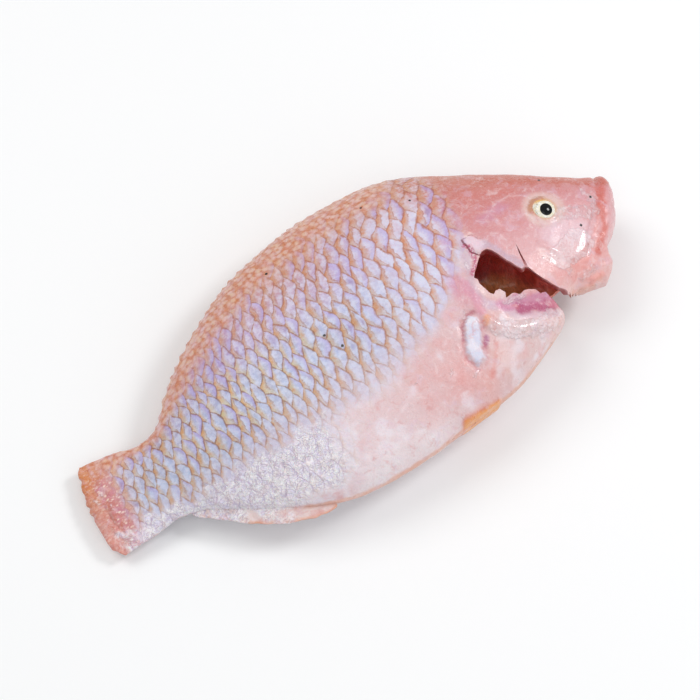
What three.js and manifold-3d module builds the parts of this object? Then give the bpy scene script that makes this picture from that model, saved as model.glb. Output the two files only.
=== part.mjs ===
// Whole raw fish, dressed for cooking: fins trimmed back to their roots and the
// gills taken out through the right gill cover. It lies on its left side.
//
// Frame, in millimetres: +X to the snout, +Y to the back, +Z up through the
// fish from its left side to its right. The origin is on the surface that the
// fish lies on, under the middle of its box.

import * as THREE from 'three';
import { mergeVertices } from 'three/addons/utils/BufferGeometryUtils.js';
import Module from 'manifold-3d';

const wasm = await Module();
wasm.setup();

// ---------------------------------------------------------------- dimensions

// Cross-sections from the cut tail to the snout. at: distance along the body,
// lean: how far a section leans forward for each millimetre up towards the
// back, back and belly: its two edges, half: half its thickness, mid: height of
// its middle plane above the surface.
const STATIONS = [
  { at: -119.6, lean: 0.05, back: 20.0, belly: -22.8, half: 2.0, mid: 6.0 },
  { at: -106, lean: 0.02, back: 17.4, belly: -22.6, half: 4.0, mid: 7.5 },
  { at: -93, lean: 0.00, back: 14.0, belly: -22.4, half: 6.4, mid: 9.9 },
  { at: -84, lean: 0.00, back: 16.0, belly: -26.0, half: 8.2, mid: 11.8 },
  { at: -74, lean: 0.00, back: 25.4, belly: -33.5, half: 10.3, mid: 13.8 },
  { at: -58, lean: 0.00, back: 37.2, belly: -44.3, half: 14.0, mid: 16.8 },
  { at: -35, lean: 0.00, back: 50.0, belly: -55.0, half: 18.5, mid: 19.5 },
  { at: -5, lean: 0.00, back: 58.9, belly: -58.0, half: 22.5, mid: 21.2 },
  { at: 25, lean: 0.00, back: 61.5, belly: -55.4, half: 24.5, mid: 22.2 },
  { at: 52, lean: 0.08, back: 57.5, belly: -52.4, half: 25.0, mid: 22.6 },
  { at: 72, lean: 0.22, back: 43.9, belly: -48.0, half: 24.2, mid: 22.8 },
  { at: 90, lean: 0.38, back: 31.2, belly: -42.4, half: 21.5, mid: 23.0 },
  { at: 99, lean: 0.46, back: 24.8, belly: -38.2, half: 20.1, mid: 23.0 },
  { at: 106, lean: 0.52, back: 20.2, belly: -31.6, half: 18.5, mid: 23.0 },
  { at: 118, lean: 0.60, back: 13.8, belly: -31.6, half: 15.0, mid: 23.0 },
  { at: 127, lean: 0.62, back: 10.6, belly: -33.2, half: 12.0, mid: 23.0 },
];
const BACK_SHARPNESS = 1.1;    // power of the sine that closes a section's back
const BELLY_SHARPNESS = 0.92;  // the same at the belly: under 1 is blunt
const WIDEST_SHARE = 0.2;      // widest level, as a share of back plus belly

const AROUND = 54;             // points round a section, two to a scale
const ROUND_SPREAD = 0.12;     // how far those points move towards the flanks
const SCALE_FROM = -117.2;     // first half row of scales
const SCALE_HALF_PITCH = 2.8;  // half the distance between rows of scales
const SCALE_HALF_ROWS = 64;    // half rows up to the gill cover
const HEAD_STEP = 4.8;         // distance between sections along the head
const LIP_FROM = 111;          // sections follow the fold behind the lip past here
const LIP_SECTIONS = 3;        // on each side of that fold

const SCALE_RELIEF = 0.32;     // a scale's middle over the body's surface
// Where scales stand out: from the tail's FROM to FULL, up to the head's FULL to
// TO, above the surface that the fish lies on, and above the belly's soft edge,
// which rises from LOW at its AFT to HIGH at its FORE. The belly keeps a share.
const SCALES = {
  tail: { from: -118, full: -108 },
  head: { full: 58, to: 66 },
  rest: { from: 0.5, full: 5 },
  belly: { aft: 0, fore: 66, low: -26, high: 24, blend: 8, share: 0.25 },
};

// Stumps of the back fin's rays: height, place, run-out at both ends, reach
// round the back's edge and the share by which the gaps between them sink.
const BACK_FIN = { height: 0.8, from: -88, to: 66, runOut: 8, reach: 0.1, gap: 0.3 };

const SNOUT_BULGE = 7.2;       // the snout's face, ahead of the last section
const MOUTH_LEVEL = -21;       // height of the mouth's corner
const MOUTH_DENT = 6.4;
const MOUTH_DENT_REACH = 5;
const MOUTH_BLEND = 3;         // the upper lip's fold and roll fade over this
const SNOUT_STEPS = [0.35, 0.65, 0.86, 0.97];  // rings of the snout, as shares
const SNOUT_TAPER = 0.26;      // how far they draw in towards the last
const SNOUT_FLOOR = 0.2;       // share of the bulge that reaches both edges
const TAIL_BULGE = 4.6;        // the cut tail's edge, behind the first section
const TAIL_SKEW = 0.35;        // share by which that is more below, less above
const TAIL_STEPS = [0.9, 0.6];
const TAIL_TAPER = 0.05;

// Fold behind the upper lip: at its top and its lower end along the body, the
// angles (degrees) that it runs back between, depth and half width; then the
// lip's roll ahead of the fold.
const LIP_FOLD = { top: 124.6, low: 117, from: 75, to: 122, depth: 1.3, reach: 1.8 };
const LIP_ROLL = { height: 1.0, from: 0.5, full: 3, offBack: 0.2 };

// Opening under the right gill cover, seen from above: the cover's edge from
// its rear corner forward to the chin, then the rim of the shoulder back.
const GILL_OPENING = [
  [58.2, 6.2], [61.4, -1.6], [65.0, -2.0], [67.2, -7.0], [71.6, -16.5], [74.2, -15.6],
  [76.3, -6.4], [76.7, -6.4], [75.6, -15.4], [77.4, -21.0], [80.6, -27.4], [84.9, -30.4],
  [90.9, -32.5], [98.1, -33.6], [104, -34.6], [104, -46], [84, -46], [81.7, -39.0],
  [80.2, -35.6], [78.4, -31.4], [75.6, -29.6], [72.6, -27.2], [69.6, -26.6], [65.0, -23.8],
  [62.8, -25.2], [60.6, -23.2], [56.8, -22.6], [54.2, -17.4], [52.6, -12.8], [53.0, -9.2],
  [56.0, -8.0], [57.8, -1.4],
];
const OPENING_FLOOR = 19;      // that cut stops here, at the throat
const OPENING_TOP = 60;

// The throat is cut through between chin and shoulder, further back below.
const THROAT_CUT = [
  [98.4, -23.9], [89.4, -23.3], [88.6, -27.3], [85.5, -34.2], [83, -48], [118, -48],
  [114.3, -30], [106, -31.9], [101.5, -30.9],
];
const THROAT_BOTTOM = -5;
const CHAMBER = [              // hollow that the gills were in, section by section
  { at: 52, low: -15, high: -5 },
  { at: 57, low: -21, high: 2 },
  { at: 64, low: -28, high: 7 },
  { at: 74, low: -34, high: 8 },
  { at: 84, low: -37, high: 1 },
  { at: 92, low: -37, high: -9 },
  { at: 100, low: -34, high: -13 },
  { at: 108, low: -31, high: -16 },
  { at: 115, low: -29, high: -20 },
];
const CHAMBER_WALL = 3.4;      // skin and flesh left round it
const CHAMBER_AROUND = 18;
const CHAMBER_SHARPNESS = 0.6; // as for the body's sections: nearly square

// Sunken muscle below the opening: centre and radii, turned in plan.
const MUSCLE_HOLLOW = { x: 69, y: -31, z: 46.2, radii: [15, 6, 8], turn: -22 };

// Ridge of the shoulder round the opening: along the body and angle from the
// back, both at points of its crest.
const SHOULDER_RIDGE = [
  [57, 83], [51.5, 98], [47.5, 110], [48.5, 120], [54, 130], [66, 139], [80, 147], [90, 156],
];
const SHOULDER = { radius: 4.6, sink: 3.2, rings: 22, around: 8, endShare: 0.35 };

// Cut roots of the paired fins: along the body, angle from the back, half
// length, half width, height over the skin and turn in the surface.
const PECTORAL_ROOT = { at: 39.5, angle: 127, length: 9.6, width: 3.4, height: 1.5, turn: 66 };
const PELVIC_ROOT = { at: 28, angle: 167.5, length: 13.5, width: 2.6, height: 1.3, turn: 4 };
const ROOT_DEPTH = 3;          // how far a root reaches under the skin

// Strip left of the anal fin: depth below the belly's edge, root above it, half
// thickness, thin share at its edge, drop under the middle plane.
const ANAL_FIN = {
  from: -90, to: -40, depth: 6.0, root: 5, half: 1.5, thin: 0.35, bevel: 1, drop: 1.0, rings: 15,
};

const EYE = { at: 96.2, angle: 82.5, ball: 6.6, sunk: 4.2, gap: 0.3, around: 18, rings: 10 };
const UNDER_BLOCK = { long: 400, wide: 200, deep: 20 };  // cut off below the fish

// Middle of the finished fish's box, in the coordinates of the sections above.
const MIDDLE = { x: 5.2, y: 2.3 };

const SLIVER = 0.01;           // edges shorter than this are merged

const SKIN = new THREE.Color(0.86, 0.62, 0.58);
const SKIN_ROUGHNESS = 0.4;
const EYE_WHITE = new THREE.Color(0.90, 0.87, 0.74);
const EYE_ROUGHNESS = 0.2;

// --------------------------------------------------------------- small tools

const radians = THREE.MathUtils.degToRad;
const { smoothstep, clamp, lerp } = THREE.MathUtils;

/** Value at x of a smooth curve through the stations' values of one key. */
function along(key, x) {
  const s = STATIONS;
  const last = s.length - 1;
  let i = 0;
  while (i < last - 1 && x > s[i + 1].at) i += 1;
  const step = (k) => s[k + 1].at - s[k].at;
  const rise = (k) => (s[k + 1][key] - s[k][key]) / step(k);
  const slope = (k) => {
    if (k === 0) return rise(0);
    if (k === last) return rise(last - 1);
    return (rise(k - 1) * step(k) + rise(k) * step(k - 1)) / (step(k - 1) + step(k));
  };
  const h = step(i);
  const t = (x - s[i].at) / h;
  const t2 = t * t;
  const t3 = t2 * t;
  return (2 * t3 - 3 * t2 + 1) * s[i][key] + (t3 - 2 * t2 + t) * h * slope(i)
    + (3 * t2 - 2 * t3) * s[i + 1][key] + (t3 - t2) * h * slope(i + 1);
}

/** Height of a bell curve of the given reach, 1 at its middle. */
const bell = (value, middle, reach) => Math.exp(-(((value - middle) / reach) ** 2));

/** The body's smooth surface. angle goes from the back (0) over the right
 *  flank (90) to the belly (180), and is negative on the left flank. */
function surface(x, angle) {
  const back = along('back', x);
  const belly = along('belly', x);
  const widest = WIDEST_SHARE * (back + belly);
  const c = Math.cos(angle);
  const s = Math.sin(angle);
  const y = widest + c * (c >= 0 ? back - widest : widest - belly);
  const power = c >= 0 ? BACK_SHARPNESS : BELLY_SHARPNESS;
  const z = along('mid', x) + along('half', x) * Math.sign(s) * Math.abs(s) ** power;
  return new THREE.Vector3(x + along('lean', x) * y, y, z);
}

/** Outward normal of that surface. */
function normal(x, angle) {
  const h = 0.02;
  const dx = surface(x + 1, angle).sub(surface(x - 1, angle));
  const da = surface(x, angle + h).sub(surface(x, angle - h));
  return dx.cross(da).normalize().negate();
}

/** Closed solid through rings of as many points each. An end is closed by a
 *  strip that joins each point to its opposite number across the ring. */
function ringSolid(rings) {
  const n = rings[0].length;
  const points = rings.flat();
  const faces = [];
  for (let r = 0; r + 1 < rings.length; r += 1) {
    for (let k = 0; k < n; k += 1) {
      const a = r * n + k;
      const b = r * n + ((k + 1) % n);
      const even = (r + k) % 2 === 0;
      if (even) faces.push([a, b, b + n], [a, b + n, a + n]);
      else faces.push([a, b, a + n], [b, b + n, a + n]);
    }
  }
  const last = points.length - n;
  for (let i = 0; i + 1 < n - i; i += 1) {
    const opposite = (n - i) % n;
    const closing = i > 0 ? [[i, i + 1, opposite]] : [];
    if (i + 1 < n - i - 1) closing.push([i + 1, n - i - 1, opposite]);
    closing.forEach(([p, q, r]) => faces.push([r, q, p], [p + last, q + last, r + last]));
  }
  return solidFrom(points, faces);
}

/** Manifold solid of points and triangles, turned so that its faces look out. */
function solidFrom(points, faces) {
  const volume = faces.reduce((sum, [a, b, c]) => (
    sum + points[a].dot(points[b].clone().cross(points[c]))), 0);
  const tri = volume > 0 ? faces : faces.map(([a, b, c]) => [a, c, b]);
  return new wasm.Manifold(new wasm.Mesh({
    numProp: 3,
    vertProperties: new Float32Array(points.flatMap((p) => p.toArray())),
    triVerts: new Uint32Array(tri.flat()),
  }));
}

/** Manifold solid of a three.js geometry, whose faces look out. */
function solidOf(geometry) {
  geometry.deleteAttribute('normal');
  geometry.deleteAttribute('uv');
  const merged = mergeVertices(geometry, 1e-4);
  return new wasm.Manifold(new wasm.Mesh({
    numProp: 3,
    vertProperties: merged.getAttribute('position').array,
    triVerts: new Uint32Array(merged.index.array),
  }));
}

/** Upright prism over an outline in X and Y. */
function prism(outline, bottom, top) {
  const shape = new THREE.Shape(outline.map(([x, y]) => new THREE.Vector2(x, y)));
  const geometry = new THREE.ExtrudeGeometry(shape, { depth: top - bottom, bevelEnabled: false });
  return solidOf(geometry.translate(0, 0, bottom));
}

/** Ball of radius 1 drawn out along three axes, each a vector of its length. */
function ellipsoid(centre, axes, around = 14, rings = 8) {
  const place = new THREE.Matrix4().makeBasis(...axes).setPosition(centre);
  return solidOf(new THREE.SphereGeometry(1, around, rings).applyMatrix4(place));
}

// ---------------------------------------------------------------------- body

/** Angles of a section's points, the back first, then over the right flank. */
function angles() {
  return Array.from({ length: AROUND }, (_, k) => {
    const u = (2 * k) / AROUND;
    return Math.PI * u + ROUND_SPREAD * Math.sin(2 * Math.PI * u);
  });
}

/** Places of the sections along the body, each as a function of the angle. */
function places() {
  const scales = Array.from({ length: SCALE_HALF_ROWS }, (_, i) => (
    SCALE_FROM + i * SCALE_HALF_PITCH));
  const gills = scales.at(-1);
  const steps = Math.round((LIP_FROM - gills) / HEAD_STEP);
  const head = Array.from({ length: steps }, (_, i) => lerp(gills, LIP_FROM, (i + 1) / steps));
  const end = STATIONS.at(-1).at;
  const lip = Array.from({ length: 2 * LIP_SECTIONS }, (_, i) => {
    const t = (i + 1) / LIP_SECTIONS;
    return (angle) => (t <= 1 ? lerp(LIP_FROM, lipFold(angle), t)
      : lerp(lipFold(angle), end, t - 1));
  });
  return [STATIONS[0].at, ...scales, ...head].map((x) => () => x).concat(lip);
}

/** Share of the scales' relief: none on the belly, on the head, or where the
 *  fish lies. */
function scaleShare(x, point) {
  const { tail, head, rest, belly } = SCALES;
  const edge = lerp(belly.low, belly.high, smoothstep(x, belly.aft, belly.fore));
  const across = smoothstep(point.y, edge - belly.blend, edge + belly.blend);
  return lerp(belly.share, 1, across) * smoothstep(x, tail.from, tail.full)
    * (1 - smoothstep(x, head.full, head.to)) * smoothstep(point.z, rest.from, rest.full);
}

/** Place along the body of the fold behind the upper lip. */
function lipFold(angle) {
  const { top, low, from, to } = LIP_FOLD;
  const a = Math.abs(angle > Math.PI ? angle - 2 * Math.PI : angle);
  return lerp(top, low, smoothstep(a, radians(from), radians(to)));
}

/** Height of the back fin's stumps: ray ends stand out, gaps sink a little. */
function backFin(x, angle, even) {
  const { height, from, to, runOut, reach, gap } = BACK_FIN;
  const present = smoothstep(x, from, from + runOut) * (1 - smoothstep(x, to - runOut, to));
  return (even ? 1 : -gap) * height * bell(Math.sin(angle / 2), 0, reach) * present;
}

/** Height of the fold behind the upper lip and of the lip's roll ahead of it. */
function lip(x, angle, y) {
  const past = x - lipFold(angle);
  const upper = smoothstep(y, MOUTH_LEVEL - MOUTH_BLEND, MOUTH_LEVEL + MOUTH_BLEND);
  const offBack = smoothstep(Math.sin(angle / 2) ** 2, 0, LIP_ROLL.offBack);
  const roll = LIP_ROLL.height * smoothstep(past, LIP_ROLL.from, LIP_ROLL.full) * offBack;
  return upper * (roll - LIP_FOLD.depth * bell(past, 0, LIP_FOLD.reach));
}

/** Height over the smooth surface of all that stands on it. */
function relief(x, angle, point, even) {
  const scales = (even ? 1 : -1) * SCALE_RELIEF * scaleShare(x, point);
  return scales + backFin(x, angle, even) + lip(x, angle, point.y);
}

/** The section at a place with all that stands over it, flat where it lies. */
function section(place, index) {
  return angles().map((angle, k) => {
    const x = place(angle);
    const point = surface(x, angle);
    const height = relief(x, angle, point, (index + k) % 2 === 0);
    point.addScaledVector(normal(x, angle), height);
    point.z = Math.max(point.z, 0);
    return point;
  });
}

/** Rings that round off an end section by bulge, flat in Z at the last. */
function endRings(ring, x, bulgeAt, steps, taper) {
  const lean = along('lean', x);
  const back = along('back', x);
  const belly = along('belly', x);
  const middle = (back + belly) / 2;
  const mid = along('mid', x);
  return steps.map((u) => {
    const k = Math.sqrt(1 - u * u);
    return ring.map((p) => {
      const rel = clamp((p.y - middle) / ((back - belly) / 2), -1, 1);
      const y = middle + (p.y - middle) * (1 - (1 - k) * taper);
      const z = Math.max(mid + (p.z - mid) * k, 0);
      const onFace = p.x - lean * p.y;
      return new THREE.Vector3(onFace + lean * y + u * bulgeAt(y, rel), y, z);
    });
  });
}

function snoutBulge(y, rel) {
  return SNOUT_BULGE * lerp(SNOUT_FLOOR, 1, Math.sqrt(1 - rel ** 4))
    - MOUTH_DENT * bell(y, MOUTH_LEVEL, MOUTH_DENT_REACH);
}

function tailBulge(y, rel) {
  return -TAIL_BULGE * Math.sqrt(1 - rel ** 2) * (1 - TAIL_SKEW * rel);
}

function body() {
  const rings = places().map(section);
  const tail = endRings(rings[0], STATIONS[0].at, tailBulge, TAIL_STEPS, TAIL_TAPER);
  const end = STATIONS.at(-1).at;
  const snout = endRings(rings.at(-1), end, snoutBulge, SNOUT_STEPS, SNOUT_TAPER);
  return ringSolid([...tail, ...rings, ...snout]);
}

// ------------------------------------------------------------------ openings

/** Half the body's thickness at a height y of the section at x. */
function halfAt(x, y) {
  const back = along('back', x);
  const belly = along('belly', x);
  const widest = WIDEST_SHARE * (back + belly);
  const c = clamp((y - widest) / (y > widest ? back - widest : widest - belly), -1, 1);
  const power = y > widest ? BACK_SHARPNESS : BELLY_SHARPNESS;
  return along('half', x) * Math.sqrt(1 - c * c) ** power;
}

/** The gill hollow, one wall's thickness inside the skin on both sides. */
function chamber() {
  return ringSolid(CHAMBER.map(({ at, low, high }) => (
    Array.from({ length: CHAMBER_AROUND }, (_, k) => {
      const a = (2 * Math.PI * k) / CHAMBER_AROUND;
      const s = Math.sin(a);
      const y = (low + high) / 2 + ((high - low) / 2) * Math.cos(a);
      const deep = Math.max(halfAt(at, y) - CHAMBER_WALL, 1);
      const z = along('mid', at) + deep * Math.sign(s) * Math.abs(s) ** CHAMBER_SHARPNESS;
      return new THREE.Vector3(at + along('lean', at) * y, y, z);
    }))));
}

function muscleHollow() {
  const { x, y, z, radii, turn } = MUSCLE_HOLLOW;
  const t = radians(turn);
  return ellipsoid(new THREE.Vector3(x, y, z), [
    new THREE.Vector3(Math.cos(t), Math.sin(t), 0).multiplyScalar(radii[0]),
    new THREE.Vector3(-Math.sin(t), Math.cos(t), 0).multiplyScalar(radii[1]),
    new THREE.Vector3(0, 0, radii[2]),
  ], 20, 12);
}

/** All that is cut away through the right gill cover and the throat. */
function gillHollow() {
  return chamber().add(prism(GILL_OPENING, OPENING_FLOOR, OPENING_TOP))
    .add(prism(THROAT_CUT, THROAT_BOTTOM, OPENING_FLOOR + 1));
}

/** Block under the surface that the fish lies on. */
function underSurface() {
  const { long, wide, deep } = UNDER_BLOCK;
  return solidOf(new THREE.BoxGeometry(long, wide, deep).translate(0, 0, -deep / 2));
}

// ------------------------------------------------------- ridges and fin roots

/** Point at x and angle (degrees), moved out along the normal by lift. */
function onSkin(x, degrees, lift) {
  const a = radians(degrees);
  return surface(x, a).addScaledVector(normal(x, a), lift);
}

/** Round bar along a curve on the skin, tapered at both ends. */
function ridge(crest, { radius, sink, rings, around, endShare }) {
  const curve = new THREE.CatmullRomCurve3(crest.map(([x, a]) => onSkin(x, a, -sink)));
  const rows = Array.from({ length: rings }, (_, r) => {
    const t = r / (rings - 1);
    const p = curve.getPoint(t);
    const forward = curve.getTangent(t);
    const side = forward.clone().cross(new THREE.Vector3(0, 0, 1)).normalize();
    const up = side.clone().cross(forward);
    const size = radius * lerp(endShare, 1, Math.sqrt(Math.sin(Math.PI * clamp(t, 0, 1))));
    return Array.from({ length: around }, (__, k) => {
      const a = (2 * Math.PI * k) / around;
      return p.clone().addScaledVector(side, size * Math.cos(a))
        .addScaledVector(up, size * Math.sin(a));
    });
  });
  return ringSolid(rows);
}

/** Low pad left where a fin was cut off. side is 1 right, -1 left. */
function finRoot({ at, angle, length, width, height, turn }, side) {
  const a = side * radians(angle);
  const out = normal(at, a);
  const forward = surface(at + 1, a).sub(surface(at - 1, a)).normalize();
  const across = out.clone().cross(forward).normalize();
  const t = side * radians(turn);
  const longAxis = forward.clone().multiplyScalar(Math.cos(t)).addScaledVector(across, Math.sin(t));
  const shortAxis = out.clone().cross(longAxis);
  const centre = surface(at, a).addScaledVector(out, height - ROOT_DEPTH);
  return ellipsoid(centre, [
    longAxis.multiplyScalar(length), shortAxis.multiplyScalar(width), out.multiplyScalar(ROOT_DEPTH),
  ]);
}

/** Strip left of the anal fin, under the belly's edge towards the tail. */
function analFin() {
  const { from, to, depth, root, half, thin, bevel, drop, rings } = ANAL_FIN;
  const rows = Array.from({ length: rings }, (_, r) => {
    const t = r / (rings - 1);
    const x = lerp(from, to, t);
    const inner = along('belly', x) + root;
    const outer = along('belly', x) - depth * Math.sqrt(Math.max(Math.sin(Math.PI * t), 0));
    const z = along('mid', x) - drop;
    const edge = thin * half;
    return [[inner, half], [outer + bevel, half], [outer, edge], [outer, -edge],
      [outer + bevel, -half], [inner, -half]].map(([y, dz]) => new THREE.Vector3(x, y, z + dz));
  });
  return ringSolid(rows);
}

// ---------------------------------------------------------------------- eyes

/** Centre of an eyeball and the skin's normal over it. side is 1 or -1. */
function eyePlace(side) {
  const a = side * radians(EYE.angle);
  const out = normal(EYE.at, a);
  return { out, centre: surface(EYE.at, a).addScaledVector(out, -EYE.sunk) };
}

function ball(centre, radius) {
  const axes = [[radius, 0, 0], [0, radius, 0], [0, 0, radius]];
  return ellipsoid(centre, axes.map((v) => new THREE.Vector3(...v)), EYE.around, EYE.rings);
}

// ------------------------------------------------------------------ assembly

/** Mesh of a solid, each face with its own corners. */
function meshOf(name, solid, colour, roughness) {
  const { vertProperties, triVerts, numProp } = solid.getMesh();
  const corners = Array.from(triVerts).flatMap((v) => (
    Array.from(vertProperties.subarray(v * numProp, v * numProp + 3))));
  const geometry = new THREE.BufferGeometry();
  geometry.setAttribute('position', new THREE.Float32BufferAttribute(corners, 3));
  geometry.computeVertexNormals();
  const material = new THREE.MeshStandardMaterial({ color: colour, roughness, metalness: 0 });
  const mesh = new THREE.Mesh(geometry, material);
  mesh.name = name;
  return mesh;
}

let flesh = body();
flesh = flesh.add(ridge(SHOULDER_RIDGE, SHOULDER));
flesh = flesh.add(analFin());
[1, -1].forEach((side) => {
  flesh = flesh.add(finRoot(PECTORAL_ROOT, side)).add(finRoot(PELVIC_ROOT, side));
});
flesh = flesh.subtract(gillHollow()).subtract(muscleHollow()).subtract(underSurface());

const fish = new THREE.Group();
[[1, 'eye_right'], [-1, 'eye_left']].forEach(([side, name]) => {
  const { centre } = eyePlace(side);
  flesh = flesh.subtract(ball(centre, EYE.ball + EYE.gap));
  fish.add(meshOf(name, ball(centre, EYE.ball), EYE_WHITE, EYE_ROUGHNESS));
});
fish.add(meshOf('fish_body', flesh.simplify(SLIVER), SKIN, SKIN_ROUGHNESS));

fish.position.set(-MIDDLE.x, -MIDDLE.y, 0);

export default fish;
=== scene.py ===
"""Looks of a whole raw fish that lies on its left side, fins trimmed, gills taken out.

Sizes are in millimetres in the fish's own coordinates, as its solids were drawn: x along the
body to the snout, y up to the back, z up from the surface it lies on. place() turns them into
metres in the frame. On the skin, at is the distance along the body and angle the way round a
section, from the back (0) over the right flank (90 degrees) to the belly (180).
"""
import math

import bmesh
import bpy
import numpy as np
from mathutils import Matrix, Vector


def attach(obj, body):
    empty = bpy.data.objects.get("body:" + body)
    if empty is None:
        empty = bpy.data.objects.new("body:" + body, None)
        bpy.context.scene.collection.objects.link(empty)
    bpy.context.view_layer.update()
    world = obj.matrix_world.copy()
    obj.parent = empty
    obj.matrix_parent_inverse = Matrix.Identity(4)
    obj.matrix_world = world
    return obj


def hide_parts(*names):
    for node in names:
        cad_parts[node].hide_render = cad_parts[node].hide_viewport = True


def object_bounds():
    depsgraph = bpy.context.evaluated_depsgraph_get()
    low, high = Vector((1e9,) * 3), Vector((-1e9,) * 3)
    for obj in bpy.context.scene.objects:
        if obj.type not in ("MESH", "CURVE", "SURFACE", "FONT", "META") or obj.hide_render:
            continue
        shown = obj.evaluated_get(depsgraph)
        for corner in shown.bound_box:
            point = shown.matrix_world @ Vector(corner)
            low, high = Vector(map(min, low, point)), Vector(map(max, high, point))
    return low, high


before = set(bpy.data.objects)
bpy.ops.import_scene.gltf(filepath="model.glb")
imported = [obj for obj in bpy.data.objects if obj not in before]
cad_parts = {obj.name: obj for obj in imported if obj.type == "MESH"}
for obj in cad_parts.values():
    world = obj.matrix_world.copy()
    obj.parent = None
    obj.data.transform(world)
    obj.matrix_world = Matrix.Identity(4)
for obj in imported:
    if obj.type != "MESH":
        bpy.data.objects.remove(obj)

CAD_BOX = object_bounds()

# ---- dimensions

MM = 0.001
MIDDLE = np.array([5.2, 2.3, 0.0])      # the frame's origin, in the fish's coordinates

# Sections from the cut tail to the snout: at, lean, back, belly, half thickness, middle plane.
STATIONS = np.array([
    (-119.6, 0.05, 20.0, -22.8, 2.0, 6.0),
    (-106, 0.02, 17.4, -22.6, 4.0, 7.5),
    (-93, 0.00, 14.0, -22.4, 6.4, 9.9),
    (-84, 0.00, 16.0, -26.0, 8.2, 11.8),
    (-74, 0.00, 25.4, -33.5, 10.3, 13.8),
    (-58, 0.00, 37.2, -44.3, 14.0, 16.8),
    (-35, 0.00, 50.0, -55.0, 18.5, 19.5),
    (-5, 0.00, 58.9, -58.0, 22.5, 21.2),
    (25, 0.00, 61.5, -55.4, 24.5, 22.2),
    (52, 0.08, 57.5, -52.4, 25.0, 22.6),
    (72, 0.22, 43.9, -48.0, 24.2, 22.8),
    (90, 0.38, 31.2, -42.4, 21.5, 23.0),
    (99, 0.46, 24.8, -38.2, 20.1, 23.0),
    (106, 0.52, 20.2, -31.6, 18.5, 23.0),
    (118, 0.60, 13.8, -31.6, 15.0, 23.0),
    (127, 0.62, 10.6, -33.2, 12.0, 23.0),
])
LEAN, BACK, BELLY, HALF, MID = 1, 2, 3, 4, 5
BACK_SHARPNESS = 1.1
BELLY_SHARPNESS = 0.92
WIDEST_SHARE = 0.2
ROUND_SPREAD = 0.12
PLACE_ROUNDS = 12                       # of the search for a point's section

RINGS = 312                             # sections of the skin's mesh
AROUND = 300                            # points round each of them

SNOUT_BULGE = 7.2
SNOUT_TAPER = 0.26
SNOUT_FLOOR = 0.2
MOUTH_LEVEL = -21
MOUTH_DENT = 6.4
MOUTH_DENT_REACH = 5
TAIL_BULGE = 4.6
TAIL_SKEW = 0.35
TAIL_TAPER = 0.05
END_STEPS = (0.15, 0.3, 0.45, 0.6, 0.72, 0.82, 0.9, 0.955, 0.99)

# The gill opening's edge on the right side, x and y: shoulder, lower lip, chin, cheek, gill cover.
GILL_OPENING = [
    (64.6, -2.1), (62.2, -2.1), (60.7, -2.9), (58.5, -4.8), (56.1, -7.2), (53.4, -9.2),
    (52.3, -10.6), (53.6, -11.6), (53.1, -13.7), (54.7, -18.5), (55.9, -20.2), (57.3, -18.9),
    (59.2, -19.2), (60.5, -21.6), (59.6, -23.6), (63.3, -23.5), (65.6, -24.7), (67.9, -24.2),
    (72.3, -25.6), (74.0, -28.0), (76.8, -28.4), (78.5, -31.2), (80.2, -35.6), (81.7, -39.0),
    (84, -46), (104, -46), (104, -33.2), (96.9, -32.6), (91.8, -31.8), (88.8, -32.2),
    (85.1, -30.4), (81.7, -28.1), (78.5, -24.2), (76.9, -21.9), (75.5, -17.7), (74.3, -16.3),
    (71.9, -16.5), (68.9, -10.3), (65.9, -3.8),
]
COVER_SLIT = [(73.8, -17.2), (75.1, -16.6), (75.6, -12.0), (76.5, -5.6), (75.2, -10.0), (74.4, -14.0)]
OPENING_FLOOR = 19
SLIT_FLOOR = 44.4
OPENING_TOP = 60
THROAT_CUT = [
    (100, -20.2), (88.2, -19.6), (85.6, -23.5), (84.2, -28.5), (82, -35), (80.5, -48), (118, -48),
    (114.3, -30), (106, -31.9), (102.5, -29.5),
]
THROAT_BOTTOM = -5
THROAT_TOP = 20
CORNER_CUT = [(83, -27.5), (87.5, -29), (88.6, -31), (88.6, -44), (83, -44)]
CORNER_TOP = 31
CORNER_STEPS = [(90.4, 27.2), (92.6, 24.6), (94.8, 22.2)]   # x to which the wall is cut, down from z
CHAMBER = [                             # at, low and high edge of the hollow the gills were in
    (52, -15, -5), (57, -21, 2), (64, -28, 7), (74, -34, 8), (84, -37, 1), (92, -37, -9),
    (100, -34, -13), (108, -31, -16), (115, -29, -20),
]
CHAMBER_WALL = 2.6
CHAMBER_SHARPNESS = 0.6
MUSCLE = {"line": [(60, -27.2), (66, -29.4), (72, -31.2), (79, -32.6)], "depth": 2.2, "reach": 3.6}

SHOULDER_RIDGE = [                      # at and angle, in degrees, along its crest
    (57, 83), (51.5, 98), (47.5, 110), (48.5, 120), (54, 130), (66, 139), (80, 147), (90, 156),
]
SHOULDER_RADIUS = 4.6
SHOULDER_SINK = 3.2

EYE = {"at": 95.9, "angle": 80.2, "ball": 6.2, "sunk": 3.9}
EYE_AXIS = (-0.07, -0.275, 0.0)          # its gaze leans by this from the skin's normal
SOCKET = ((5.5, 1.0, 0.5), (9.5, 1.6, 0.2), (8.0, 0.8, -0.18))   # rings: radius, width, height

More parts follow.
